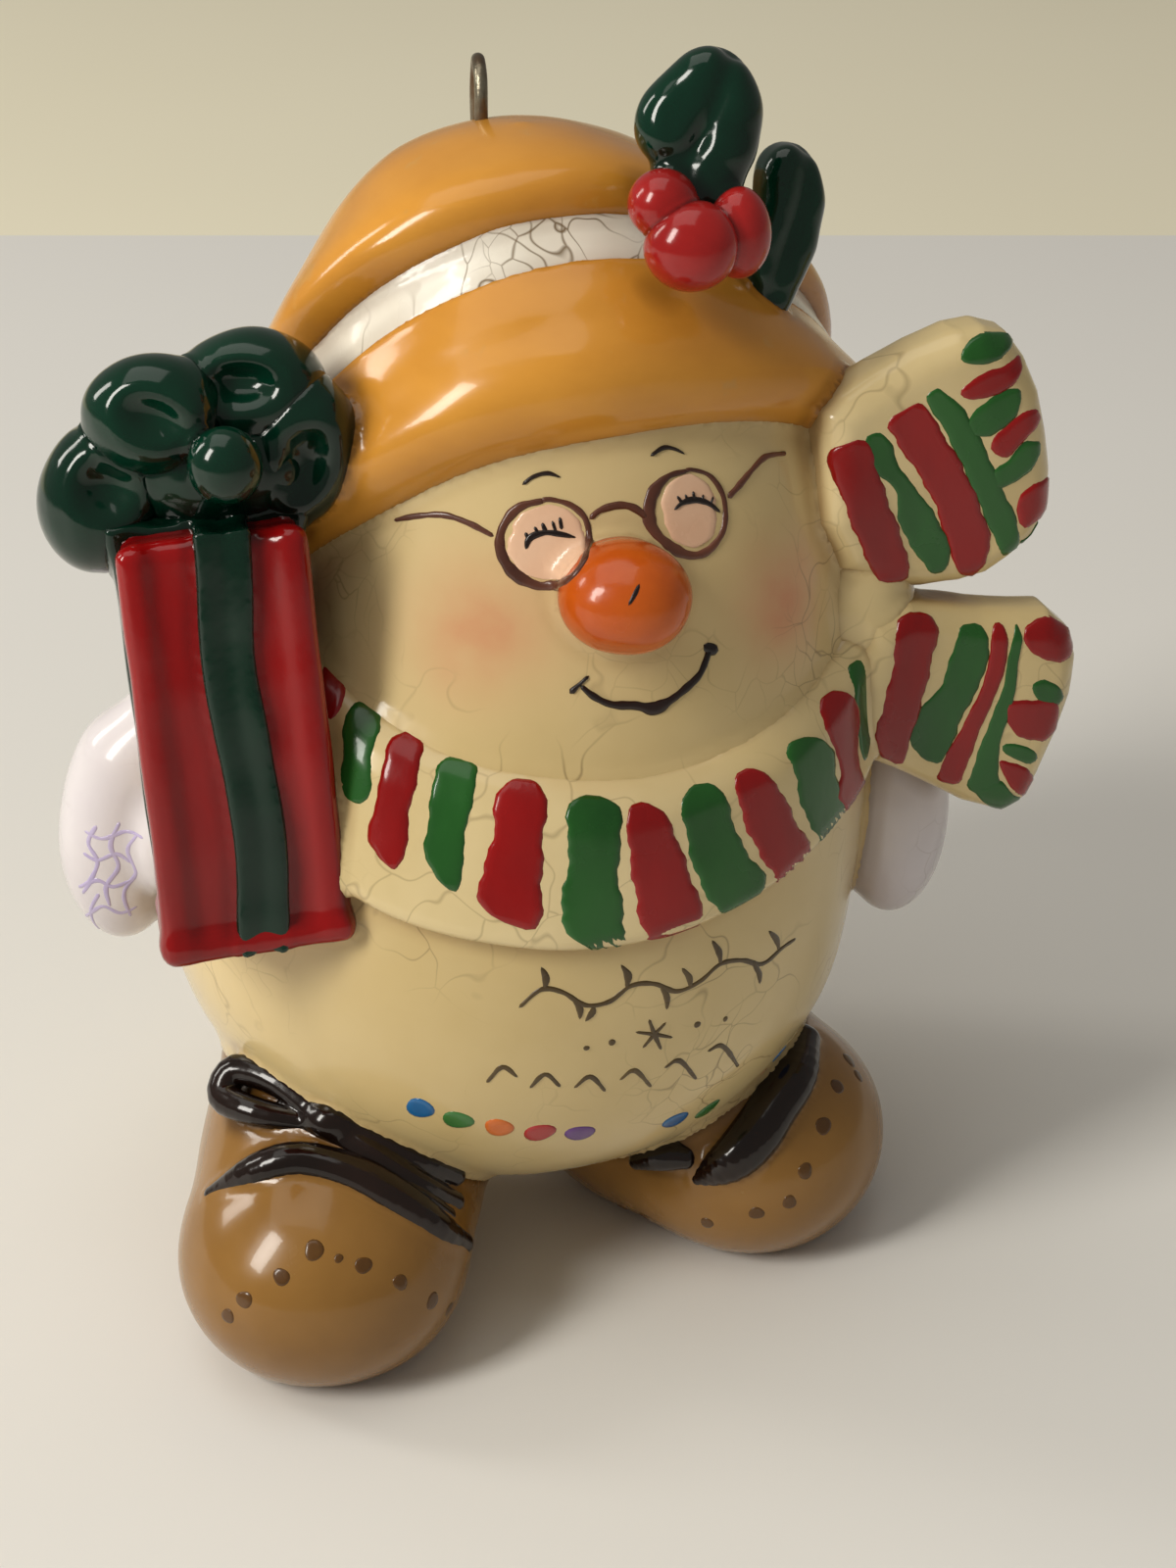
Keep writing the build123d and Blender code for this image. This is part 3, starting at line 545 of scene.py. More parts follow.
        ("tail", [(26.2, -17.8, 37.9), (26.4, -17.8, 38.2), (27.2, -17.9, 38.2), (28.2, -18.0, 37.6)],
         [(26.4, -17.9, 37.3), (26.9, -18.0, 36.7), (27.9, -18.0, 36.2), (28.8, -17.7, 36.4)]),
        ("tail", [(24.7, -17.5, 34.2), (25.2, -17.6, 34.2), (26.1, -17.7, 33.9), (27.1, -17.8, 33.3)],
         [(24.8, -17.4, 33.5), (25.6, -17.6, 33.0), (26.7, -17.7, 32.4), (27.4, -17.6, 32.5)]),
    ],
    "lens": [
        ("face", [(-3.2, -14.1, 53.5), (-4.4, -13.7, 53.1), (-5.2, -13.6, 52.2), (-5.5, -13.9, 51.2), (-5.1, -14.6, 50.1), (-3.9, -15.4, 49.7)],
         [(-3.0, -14.2, 53.5), (-2.0, -14.8, 53.1), (-1.6, -15.4, 52.0), (-2.3, -16.8, 51.6), (-3.5, -17.5, 50.9), (-3.8, -15.4, 49.7)]),
        ("face", [(4.5, -15.3, 54.4), (3.4, -15.4, 54.1), (2.7, -15.8, 53.1), (2.7, -16.2, 52.1), (3.3, -16.6, 51.1), (4.3, -16.8, 50.6)],
         [(4.7, -15.3, 54.4), (5.6, -15.5, 53.8), (6.1, -15.9, 52.7), (6.0, -16.3, 51.7), (5.4, -16.6, 50.9), (4.4, -16.8, 50.6)]),
    ],
}
STROKES = {
    "rim": ("face", [
        ([(-3.3, -14.0, 53.7), (-4.6, -13.5, 53.3), (-5.5, -13.4, 52.3), (-5.8, -13.7, 51.2), (-5.5, -14.3, 50.2), (-4.8, -15.0, 49.6), (-3.9, -15.5, 49.4), (-3.6, -17.9, 50.8), (-2.7, -17.8, 51.7), (-1.5, -15.8, 51.7), (-1.4, -15.1, 52.7), (-2.0, -14.6, 53.4), (-2.9, -14.1, 53.7), (-3.5, -13.9, 53.7)], [0.26, 0.48, 0.48, 0.53, 0.69, 0.58, 0.48, 0.47, 0.42, 0.37, 0.32, 0.32, 0.26, 0.26]),
        ([(4.6, -15.2, 54.5), (3.4, -15.3, 54.4), (2.4, -15.5, 53.7), (2.0, -15.9, 52.7), (2.1, -16.2, 51.9), (2.8, -16.6, 51.0), (4.0, -16.9, 50.3), (5.1, -16.8, 50.3), (6.1, -16.5, 51.0), (6.5, -16.1, 51.9), (6.5, -15.7, 53.0), (5.9, -15.3, 54.0), (4.9, -15.2, 54.5), (4.4, -15.2, 54.5)], [0.21, 0.37, 0.64, 0.74, 0.58, 0.64, 0.48, 0.43, 0.38, 0.32, 0.32, 0.27, 0.21, 0.21]),
        ([(-1.2, -15.2, 52.7), (-0.6, -15.2, 53.1), (0.4, -15.4, 53.3), (1.2, -15.6, 53.1), (1.9, -15.9, 52.5)], [0.32, 0.32, 0.42, 0.42, 0.32]),
        ([(-10.1, -9.0, 51.7), (-9.2, -10.0, 52.2), (-8.0, -11.1, 52.5), (-7.0, -12.2, 52.3), (-6.0, -13.3, 51.8)], [0.22, 0.32, 0.32, 0.32, 0.26]),
        ([(6.8, -15.7, 52.7), (7.6, -15.4, 53.1), (8.8, -14.8, 53.7), (9.9, -14.2, 54.0), (11.5, -13.6, 53.7)], [0.38, 0.38, 0.33, 0.33, 0.22]),
    ]),
    "line": ("face", [
        ([(-4.2, -13.1, 54.4), (-3.6, -13.2, 54.8), (-2.9, -13.5, 55.0), (-2.3, -13.9, 54.8)], [0.16, 0.21, 0.21, 0.08]),
        ([(2.6, -14.7, 55.5), (3.4, -14.6, 55.8), (4.0, -14.7, 55.7), (4.6, -14.8, 55.3)], [0.16, 0.21, 0.19, 0.08]),
        ([(-4.6, -14.4, 51.2), (-4.3, -14.3, 51.8), (-3.6, -14.6, 52.1), (-2.8, -14.9, 52.0), (-2.0, -15.3, 51.8)], [0.16, 0.37, 0.32, 0.32, 0.08]),
        ([(3.4, -16.0, 52.7), (4.0, -15.9, 53.0), (4.7, -15.8, 53.0), (5.5, -15.9, 52.7), (6.2, -16.1, 52.1)], [0.11, 0.27, 0.37, 0.32, 0.08]),
        ([(-4.5, -14.1, 52.1), (-4.4, -14.3, 51.8)], [0.16, 0.26]),
        ([(-4.0, -14.2, 52.4), (-3.9, -14.5, 52.0)], [0.16, 0.26]),
        ([(-3.6, -14.3, 52.6), (-3.5, -14.6, 52.1)], [0.16, 0.26]),
        ([(-3.1, -14.5, 52.7), (-3.0, -14.8, 52.1)], [0.16, 0.21]),
        ([(-2.7, -14.6, 52.9), (-2.7, -14.9, 52.2)], [0.16, 0.21]),
        ([(3.7, -15.7, 53.4), (4.0, -15.9, 52.9)], [0.13, 0.21]),
        ([(4.2, -15.7, 53.4), (4.3, -15.9, 53.0)], [0.13, 0.21]),
        ([(4.7, -15.7, 53.5), (4.7, -15.8, 53.0)], [0.13, 0.21]),
        ([(5.3, -15.7, 53.2), (5.1, -15.9, 52.8)], [0.13, 0.16]),
        ([(5.9, -15.8, 53.0), (5.6, -16.0, 52.6)], [0.13, 0.16]),
        ([(-3.4, -17.5, 43.7), (-2.9, -17.5, 44.1), (-2.3, -17.6, 44.6)], [0.32, 0.21, 0.19]),
        ([(-2.8, -17.6, 44.1), (-2.2, -18.0, 43.5), (-1.3, -18.4, 43.0), (-0.0, -18.7, 42.8), (1.0, -18.9, 42.5), (2.0, -18.9, 42.8), (3.0, -18.8, 43.3), (3.9, -18.7, 43.9), (4.5, -18.4, 44.8), (4.6, -18.3, 45.1)], [0.21, 0.32, 0.37, 0.43, 0.64, 0.43, 0.38, 0.38, 0.32, 0.32]),
        ([(4.3, -18.2, 45.4), (4.7, -18.3, 45.1), (5.2, -18.3, 44.9)], [0.38, 0.59, 0.38]),
    ]),
    "line_nose": ("face", [
        ([(-0.9, -20.9, 51.3), (-1.3, -21.2, 50.9), (-1.7, -21.3, 50.4)], [0.15, 0.26, 0.15]),
    ]),
    "scribe": ("belly", [
        ([(-7.9, -20.5, 26.2), (-6.7, -20.9, 27.3), (-5.5, -21.2, 27.0), (-4.3, -21.6, 26.0), (-2.9, -21.8, 26.0), (-1.6, -21.9, 26.8), (-0.2, -22.0, 26.6), (1.2, -22.0, 25.7), (2.7, -21.9, 25.9), (4.1, -21.7, 26.6), (5.7, -21.4, 26.2), (7.3, -20.8, 25.2), (8.9, -20.2, 25.5), (10.1, -19.6, 25.5)], [0.17, 0.27, 0.28, 0.28, 0.28, 0.28, 0.28, 0.28, 0.28, 0.28, 0.28, 0.29, 0.29, 0.17]),
        ([(-6.5, -20.9, 27.3), (-6.4, -20.9, 28.0), (-6.6, -20.7, 28.7)], [0.16, 0.38, 0.11]),
        ([(-5.0, -21.4, 26.6), (-4.6, -21.5, 25.8), (-4.6, -21.5, 25.1)], [0.17, 0.39, 0.11]),
        ([(-1.9, -21.9, 26.7), (-1.8, -21.9, 27.5), (-2.2, -21.8, 28.3)], [0.17, 0.39, 0.11]),
        ([(0.2, -22.0, 26.4), (0.6, -22.0, 25.4), (0.6, -22.0, 24.6)], [0.17, 0.39, 0.11]),
        ([(4.1, -21.7, 26.6), (4.0, -21.7, 27.4), (3.5, -21.8, 28.4)], [0.17, 0.39, 0.11]),
        ([(6.5, -21.1, 25.7), (7.1, -20.9, 24.6), (7.2, -20.8, 23.8)], [0.17, 0.4, 0.11]),
        ([(-3.8, -21.6, 25.9), (-3.9, -21.6, 25.4), (-4.3, -21.6, 24.9)], [0.17, 0.39, 0.11]),
        ([(2.1, -22.0, 25.7), (2.0, -22.0, 26.4), (1.5, -22.0, 27.2)], [0.17, 0.39, 0.11]),
        ([(8.6, -20.3, 25.5), (8.4, -20.4, 26.3), (7.7, -20.7, 27.3)], [0.17, 0.4, 0.11]),
        ([(-1.3, -21.9, 23.5), (-0.1, -21.9, 23.0), (1.1, -21.8, 22.4)], [0.17, 0.25, 0.17]),
        ([(-0.5, -22.0, 24.2), (-0.1, -21.9, 23.0), (0.4, -21.8, 21.7)], [0.17, 0.25, 0.17]),
        ([(0.6, -21.9, 23.7), (-0.1, -21.9, 23.0), (-0.8, -21.8, 22.2)], [0.17, 0.25, 0.17]),
        ([(-9.6, -19.6, 20.9), (-8.8, -20.1, 22.1), (-8.0, -20.4, 21.3)], [0.17, 0.31, 0.17]),
        ([(-7.3, -20.5, 20.4), (-6.5, -20.9, 21.4), (-5.6, -21.0, 20.3)], [0.17, 0.31, 0.17]),
        ([(-4.8, -21.1, 20.1), (-3.9, -21.4, 20.8), (-2.9, -21.3, 19.4)], [0.17, 0.31, 0.17]),
        ([(-2.1, -21.5, 20.1), (-1.2, -21.6, 20.6), (-0.0, -21.3, 18.9)], [0.17, 0.31, 0.17]),
        ([(0.7, -21.6, 20.2), (1.7, -21.6, 20.4), (3.1, -21.0, 18.3)], [0.17, 0.31, 0.17]),
        ([(3.6, -21.4, 20.4), (4.7, -21.1, 20.3), (6.3, -20.1, 17.7)], [0.17, 0.32, 0.18]),
    ]),
    "violet": ("mitt", [
        ([(-25.1, 4.7, 28.5), (-25.7, 4.9, 27.3), (-25.3, 4.5, 26.1), (-25.8, 5.0, 24.5), (-26.2, 5.7, 23.3)], [0.3, 0.36, 0.3, 0.37, 0.25]),
        ([(-23.8, 4.1, 28.8), (-24.5, 4.1, 27.3), (-24.2, 3.9, 25.8), (-25.0, 4.3, 24.3), (-24.8, 4.6, 22.7)], [0.24, 0.36, 0.3, 0.37, 0.25]),
        ([(-26.0, 5.2, 26.5), (-25.3, 4.5, 26.2), (-24.3, 3.9, 26.7), (-23.5, 3.5, 26.1)], [0.24, 0.3, 0.3, 0.24]),
        ([(-26.4, 5.9, 23.7), (-25.5, 4.6, 24.7), (-24.6, 4.1, 24.3), (-23.4, 3.7, 24.8)], [0.25, 0.37, 0.31, 0.24]),
        ([(-25.8, 7.1, 20.8), (-25.3, 4.9, 22.6), (-24.2, 4.5, 22.1), (-23.2, 4.2, 22.5)], [0.25, 0.31, 0.31, 0.18]),
        ([(-25.1, 7.1, 19.6), (-25.8, 5.8, 21.8), (-25.4, 4.7, 23.7)], [0.25, 0.31, 0.25]),
        ([(-23.0, 3.1, 28.3), (-23.6, 3.6, 27.0), (-23.3, 3.4, 25.4), (-24.0, 4.0, 23.7), (-23.6, 4.5, 21.7)], [0.24, 0.3, 0.3, 0.31, 0.25]),
        ([(-25.8, 5.2, 28.0), (-24.9, 4.4, 27.7), (-23.6, 3.8, 28.2), (-22.8, 2.6, 28.2)], [0.18, 0.3, 0.3, 0.18]),
    ]),
}
DOTS = [
    ("shoe_dot", "shoe", (-20.0, -18.2, 11.1), 0.67),
    ("shoe_dot", "shoe", (-17.5, -19.6, 10.2), 0.57),
    ("shoe_dot", "shoe", (-15.5, -20.2, 8.7), 0.54),
    ("shoe_dot", "shoe", (-13.5, -20.1, 6.5), 0.58),
    ("shoe_dot", "shoe", (-12.1, -19.2, 4.7), 0.48),
    ("shoe_dot", "shoe", (-22.1, -18.3, 9.9), 0.57),
    ("shoe_dot", "shoe", (-24.2, -17.5, 8.3), 0.60),
    ("shoe_dot", "shoe", (-25.1, -16.9, 6.9), 0.54),
    ("shoe_dot", "shoe", (17.3, -14.4, 11.2), 0.58),
    ("shoe_dot", "shoe", (15.2, -16.7, 11.3), 0.57),
    ("shoe_dot", "shoe", (13.2, -18.7, 10.2), 0.64),
    ("shoe_dot", "shoe", (11.3, -20.0, 8.2), 0.57),
    ("shoe_dot", "shoe", (10.1, -20.3, 6.4), 0.53),
    ("shoe_dot", "shoe", (8.1, -19.8, 5.8), 0.53),
    ("shoe_dot", "shoe", (5.6, -18.0, 4.5), 0.50),
    ("shoe_dot", "shoe", (3.7, -12.8, 1.8), 0.44),
    ("shoe_dot", "shoe", (3.2, -10.5, 1.0), 0.41),
    ("shoe_dot", "shoe", (-18.8, -19.0, 10.7), 0.30),
    ("shoe_dot", "shoe", (17.5, -15.4, 10.6), 0.47),
    ("blue", "belly", (-12.7, -16.9, 18.2), 0.97),
    ("green", "belly", (-10.8, -18.0, 17.5), 0.97),
    ("orange", "belly", (-8.6, -18.9, 16.9), 0.98),
    ("red", "belly", (-6.3, -19.5, 16.2), 1.04),
    ("purple", "belly", (-3.9, -19.9, 15.7), 0.99),
    ("blue", "belly", (2.5, -19.5, 14.5), 1.00),
    ("green", "belly", (5.0, -18.8, 14.0), 1.01),
    ("orange", "belly", (8.4, -16.0, 12.1), 0.98),
    ("red", "belly", (10.1, -15.9, 13.1), 0.92),
    ("blue", "belly", (11.4, -15.7, 14.2), 0.80),
    ("scribe", "belly", (-2.7, -21.7, 23.1), 0.25),
    ("scribe", "belly", (2.7, -21.7, 22.8), 0.26),
    ("scribe", "belly", (-4.2, -21.5, 23.0), 0.20),
    ("scribe", "belly", (4.7, -21.4, 22.4), 0.20),
]


# ---- the figure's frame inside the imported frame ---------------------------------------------
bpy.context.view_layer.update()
lo_b, hi_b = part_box("body_shell")
SHIFT = np.array([lo_b[0] * 1000 + 22.0, (lo_b[1] + hi_b[1]) * 500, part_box("right_shoe")[0][2] * 1000])


def world(q): return (np.asarray(q, float) + SHIFT) / 1000.0


INDEX = {n: i for i, n in enumerate(NAMES)}
GROUPS = {
    "scarf": ["scarf_wrap"],
    "tail": ["scarf_wrap", "scarf_knot", "scarf_tail_upper", "scarf_tail_lower"],
    "face": ["body_shell", "hat_brim", "nose"],
    "belly": ["body_shell"],
    "shoe": ["right_shoe", "left_shoe", "body_shell"],
    "mitt": ["right_mitten"],
}


def grouped(group):
    idx = [INDEX[n] for n in GROUPS[group]]
    idx.sort()

    def f(p):
        F = None
        for i in idx:
            d = PIECES[i][1](p)
            F = d if F is None else smin(F, d, PIECES[i][2])
        return F
    return f


def gradient(f, p, e=0.04):
    g = np.stack([f(p + v) - f(p - v) for v in np.eye(3) * e], -1) / (2 * e)
    return g


def settle(f, p, steps=2, cap=0.5):
    for _ in range(steps):
        d = f(p)
        g = gradient(f, p)
        s = -(d / np.maximum((g ** 2).sum(-1), 0.25))
        p = p + np.clip(s, -cap, cap)[:, None] * g
    return p


def normal_at(f, p):
    g = gradient(f, p, 0.08)
    return g / np.maximum(np.linalg.norm(g, axis=-1, keepdims=True), 1e-6)


# ---- meshes ---------------------------------------------------------------------------------
def make(name, verts, faces, mat, attrs=None):
    me = bpy.data.meshes.new(name)
    me.from_pydata([tuple(v) for v in world(verts)], [], [tuple(int(k) for k in f) for f in faces])
    me.validate()
    me.polygons.foreach_set("use_smooth", np.ones(len(me.polygons), bool))
    for k, a in (attrs or {}).items():
        if len(a) == len(me.vertices):
            me.attributes.new(k, "FLOAT", "POINT").data.foreach_set("value", np.asarray(a, np.float32))
    me.update()
    ob = bpy.data.objects.new(name, me)
    bpy.context.scene.collection.objects.link(ob)
    me.materials.append(mat)
    return ob


CHEEKS = [np.array(q) for q in CHEEK_AT]


def sculpt(name, h):
    i = INDEX[name]
    c, half = np.array(PIECES[i][3], float), np.array(PIECES[i][4], float) + 1.0
    n = np.ceil(2 * half / h).astype(int) + 1
    org = c - half
    gx, gy = [org[k] + h * np.arange(n[k]) for k in (0, 1)]
    arr = np.empty(tuple(n), np.float32)
    own = PIECES[i][1]
    chunk = max(4, int(6.0 / h))
    for z0 in range(0, n[2], chunk):
        gz = org[2] + h * np.arange(z0, min(n[2], z0 + chunk))
        X, Y, Z = np.meshgrid(gx, gy, gz, indexing="ij")
        p = np.stack([X, Y, Z], -1)
        d = own(p)
        m = (d < 1.6) & (d > -3.2 if i == 0 else True)
        if m.any():
            d[m] = piece(i, p[m])
        arr[:, :, z0:z0 + len(gz)] = d
    arr[[0, -1]] = np.maximum(arr[[0, -1]], h)
    arr[:, [0, -1]] = np.maximum(arr[:, [0, -1]], h)
    arr[:, :, [0, -1]] = np.maximum(arr[:, :, [0, -1]], h)
    g = vdb.FloatGrid()
    g.background = 3.0
    g.copyFromArray(np.clip(arr, -3, 3).astype(np.float32))
    pts, tri, quads = g.convertToPolygons(isovalue=0.0, adaptivity=0.0)
    v = org + np.asarray(pts, float) * h
    f = lambda q: piece(i, q)
    v = settle(f, v, 2, h * 0.6)
    faces = [tuple(q[::-1]) for q in np.asarray(quads)] + [tuple(q[::-1]) for q in np.asarray(tri)]
    # which way round the faces go
    a, b, c4 = (v[np.array([q[k] for q in faces])] for k in (0, 1, 2))
    if (np.cross(b - a, c4 - a) * a).sum() < 0:
        faces = [q[::-1] for q in faces]
    # keep the largest connected shells only
    v, faces = big_shells(v, faces)
    F = lambda q: total(q)
    # crease: how deeply the surface sits among its neighbours, an occlusion measure that the glazes use to paint shade
    # (with some grime) into the creases
    nr = normal_at(f, v)
    out = total(v + nr * 1.1)
    crease = np.clip((1.1 - out) / 1.1, 0, 1)
    blush = np.zeros(len(v))
    if name == "body_shell":
        for q, r in zip(CHEEKS, CHEEK_R):
            blush = np.maximum(blush, np.exp(-((v - q) ** 2).sum(-1) / (r * r)))
    return v, faces, {"crease": crease, "blush": blush}


def big_shells(v, faces):
    n = len(v)
    parent = np.arange(n)
    F = np.array([(q[0], q[1]) for q in faces] + [(q[1], q[2]) for q in faces] + [(q[2], q[-1]) for q in faces])
    lab = np.arange(n)
    while True:
        m = np.minimum(lab[F[:, 0]], lab[F[:, 1]])
        new = lab.copy()
        np.minimum.at(new, F[:, 0], m)
        np.minimum.at(new, F[:, 1], m)
        new = new[new]
        new = new[new]
        if (new == lab).all():
            break
        lab = new
    ids, cnt = np.unique(lab, return_counts=True)
    keep = set(ids[cnt > max(40, 0.04 * cnt.max())].tolist())
    ok = np.array([k in keep for k in lab])
    if ok.all():
        return v, faces
    m = np.cumsum(ok) - 1
    return v[ok], [tuple(int(m[k]) for k in q) for q in faces if ok[q[0]]]


def resample(pts, n):
    P = np.asarray(pts, float)
    C = catmull(P, 8) if len(P) > 2 else np.array([P[0] + (P[-1] - P[0]) * t for t in np.linspace(0, 1, 12)])
    s = np.concatenate([[0], np.cumsum(np.linalg.norm(np.diff(C, axis=0), axis=1))])
    t = np.linspace(0, s[-1], n)
    return np.stack([np.interp(t, s, C[:, k]) for k in range(C.shape[1])], 1), s[-1]


class Paint:
    """Raised brush strokes of one colour, joined in one mesh."""

    def __init__(self): self.v, self.f, self.n = [], [], 0

    def grid(self, f, top, rows, cols, h):
        p = settle(f, top.reshape(-1, 3), 3, 0.6)
        nr = normal_at(f, p)
        up = p + nr * h.reshape(-1, 1)
        dn = p - nr * 0.14
        k = rows * cols
        b = self.n
        self.v += [up, dn]
        self.n += 2 * k
        at = lambda i, j: b + i * cols + j
        for i in range(rows - 1):
            for j in range(cols - 1):
                self.f.append((at(i, j), at(i, j + 1), at(i + 1, j + 1), at(i + 1, j)))
                self.f.append((at(i, j) + k, at(i + 1, j) + k, at(i + 1, j + 1) + k, at(i, j + 1) + k))
        rim = [at(0, j) for j in range(cols)] + [at(i, cols - 1) for i in range(1, rows)] + \
              [at(rows - 1, j) for j in range(cols - 2, -1, -1)] + [at(i, 0) for i in range(rows - 2, 0, -1)]
        for a, c in zip(rim, rim[1:] + rim[:1]):
            self.f.append((c, a, a + k, c + k))

    def patch(self, group, left, right, height):
        f = grouped(group)
        L, a = resample(left, 8)
        R, b = resample(right, 8)
        rows = int(np.clip(max(a, b) / 0.28, 10, 60))
        w = np.linalg.norm(L - R, axis=1).max()
        cols = int(np.clip(w / 0.28, 7, 24))
        L, _ = resample(left, rows)
        R, _ = resample(right, rows)
        t = np.linspace(0, 1, cols)[None, :, None]
        s = np.linspace(0, 1, rows) * max(a, b)
        e = np.clip(np.minimum(s, s[-1] - s) / min(0.8, 0.45 * w), 0, 1)
        k = (0.42 + 0.58 * np.sqrt(1 - (1 - e) ** 2))[:, None, None]
        rg = 1 + 0.05 * np.sin(s * 2.3 + left[0][0] * 5) + 0.03 * np.sin(s * 5.9 + left[0][2] * 3)
        mid, half = 0.5 * (L + R)[:, None], 0.5 * (R - L)[:, None] * k * rg[:, None, None]
        top = mid + half * (2 * t - 1)
        u = np.abs(np.linspace(-1, 1, cols))[None, :]
        v = np.abs(np.linspace(-1, 1, rows))[:, None]
        eu = np.clip((1 - u) * w * 0.5 / 0.22, 0, 1)
        ev = np.clip((1 - v) * max(a, b) * 0.5 / 0.22, 0, 1)
        h = height * np.sqrt(np.clip(np.minimum(eu, ev) * (2 - np.minimum(eu, ev)), 0, 1)) - 0.02 * (np.minimum(eu, ev) <= 0)
        self.grid(f, top, rows, cols, h)

    def stroke(self, group, pts, widths, height):
        f = grouped(group)
        P = np.asarray(pts, float)
        W = np.asarray(widths, float)[:, None]
        q = np.hstack([P, W])
        _, ln = resample(P, 8)
        rows = int(np.clip(ln / 0.14, 6, 120))
        C, _ = resample(q, rows)
        c, w = settle(f, C[:, :3], 2, 0.6), np.maximum(C[:, 3], 0.12)
        nr = normal_at(f, c)
        tan = np.gradient(c, axis=0)
        tan /= np.maximum(np.linalg.norm(tan, axis=1, keepdims=True), 1e-6)
        sd = np.cross(nr, tan)
        sd /= np.maximum(np.linalg.norm(sd, axis=1, keepdims=True), 1e-6)
        s = np.linspace(0, ln, rows)
        capw = np.sqrt(np.clip(1 - (1 - np.clip(np.minimum(s, ln - s) / (0.5 * w), 0, 1)) ** 2, 0.02, 1))
        rough = 1 + 0.10 * np.sin(s * 3.1 + P[0, 0] * 7) + 0.05 * np.sin(s * 7.7 + P[0, 2] * 5)
        cols = 7
        t = np.linspace(-1, 1, cols)
        top = c[:, None] + sd[:, None] * (t[None, :, None] * (0.5 * w * capw * rough)[:, None, None])
        h = height * np.sqrt(np.clip(1 - t[None] ** 2, 0, 1)) * capw[:, None] - 0.02 * (np.abs(t[None]) > 0.99)
        self.grid(f, top, rows, cols, h * np.ones((rows, cols)))

    def dot(self, group, at, r, height, squash=1.0):
        f = grouped(group)
        c = settle(f, np.array([at], float), 3, 0.6)
        nr = normal_at(f, c)[0]
        e1 = unit(np.cross(nr, (0.1, 0.2, 1.0)))
        e2 = np.cross(nr, e1)
        n, m = 18, 4
        ang = np.arange(n) / n * 2 * np.pi
        rad = r * (1 + 0.07 * np.sin(2 * ang + at[0]) + 0.05 * np.sin(3 * ang + at[2]))
        ring = [c + np.zeros((1, 3))]
        hs = [height]
        for k in range(1, m + 1):
            q = k / m
            ring.append(c + (rad * q * np.cos(ang))[:, None] * e1 * squash + (rad * q * np.sin(ang))[:, None] * e2)
            hs += [height * math.sqrt(max(0, 1 - q ** 4)) - (0.03 if k == m else 0)] * n
        p = settle(f, np.vstack(ring), 3, 0.6)
        nn = normal_at(f, p)
        up = p + nn * np.array(hs)[:, None]
        b = self.n
        self.v += [up, c - nr * 0.2]
        self.n += len(up) + 1
        o = lambda k, j: b + 1 + (k - 1) * n + j % n
        for j in range(n):
            self.f.append((b, o(1, j), o(1, j + 1)))
            for k in range(1, m):
                self.f.append((o(k, j), o(k + 1, j), o(k + 1, j + 1), o(k, j + 1)))
            self.f.append((o(m, j + 1), o(m, j), b + len(up)))

    def build(self, name, mat):
        ob = make(name, np.vstack(self.v), self.f, mat)
        return ob


# ---- materials ------------------------------------------------------------------------------
def lin(*c):
    return tuple(((v / 255) / 12.92 if v / 255 <= 0.04045 else ((v / 255 + 0.055) / 1.055) ** 2.4) for v in c) + (1.0,)


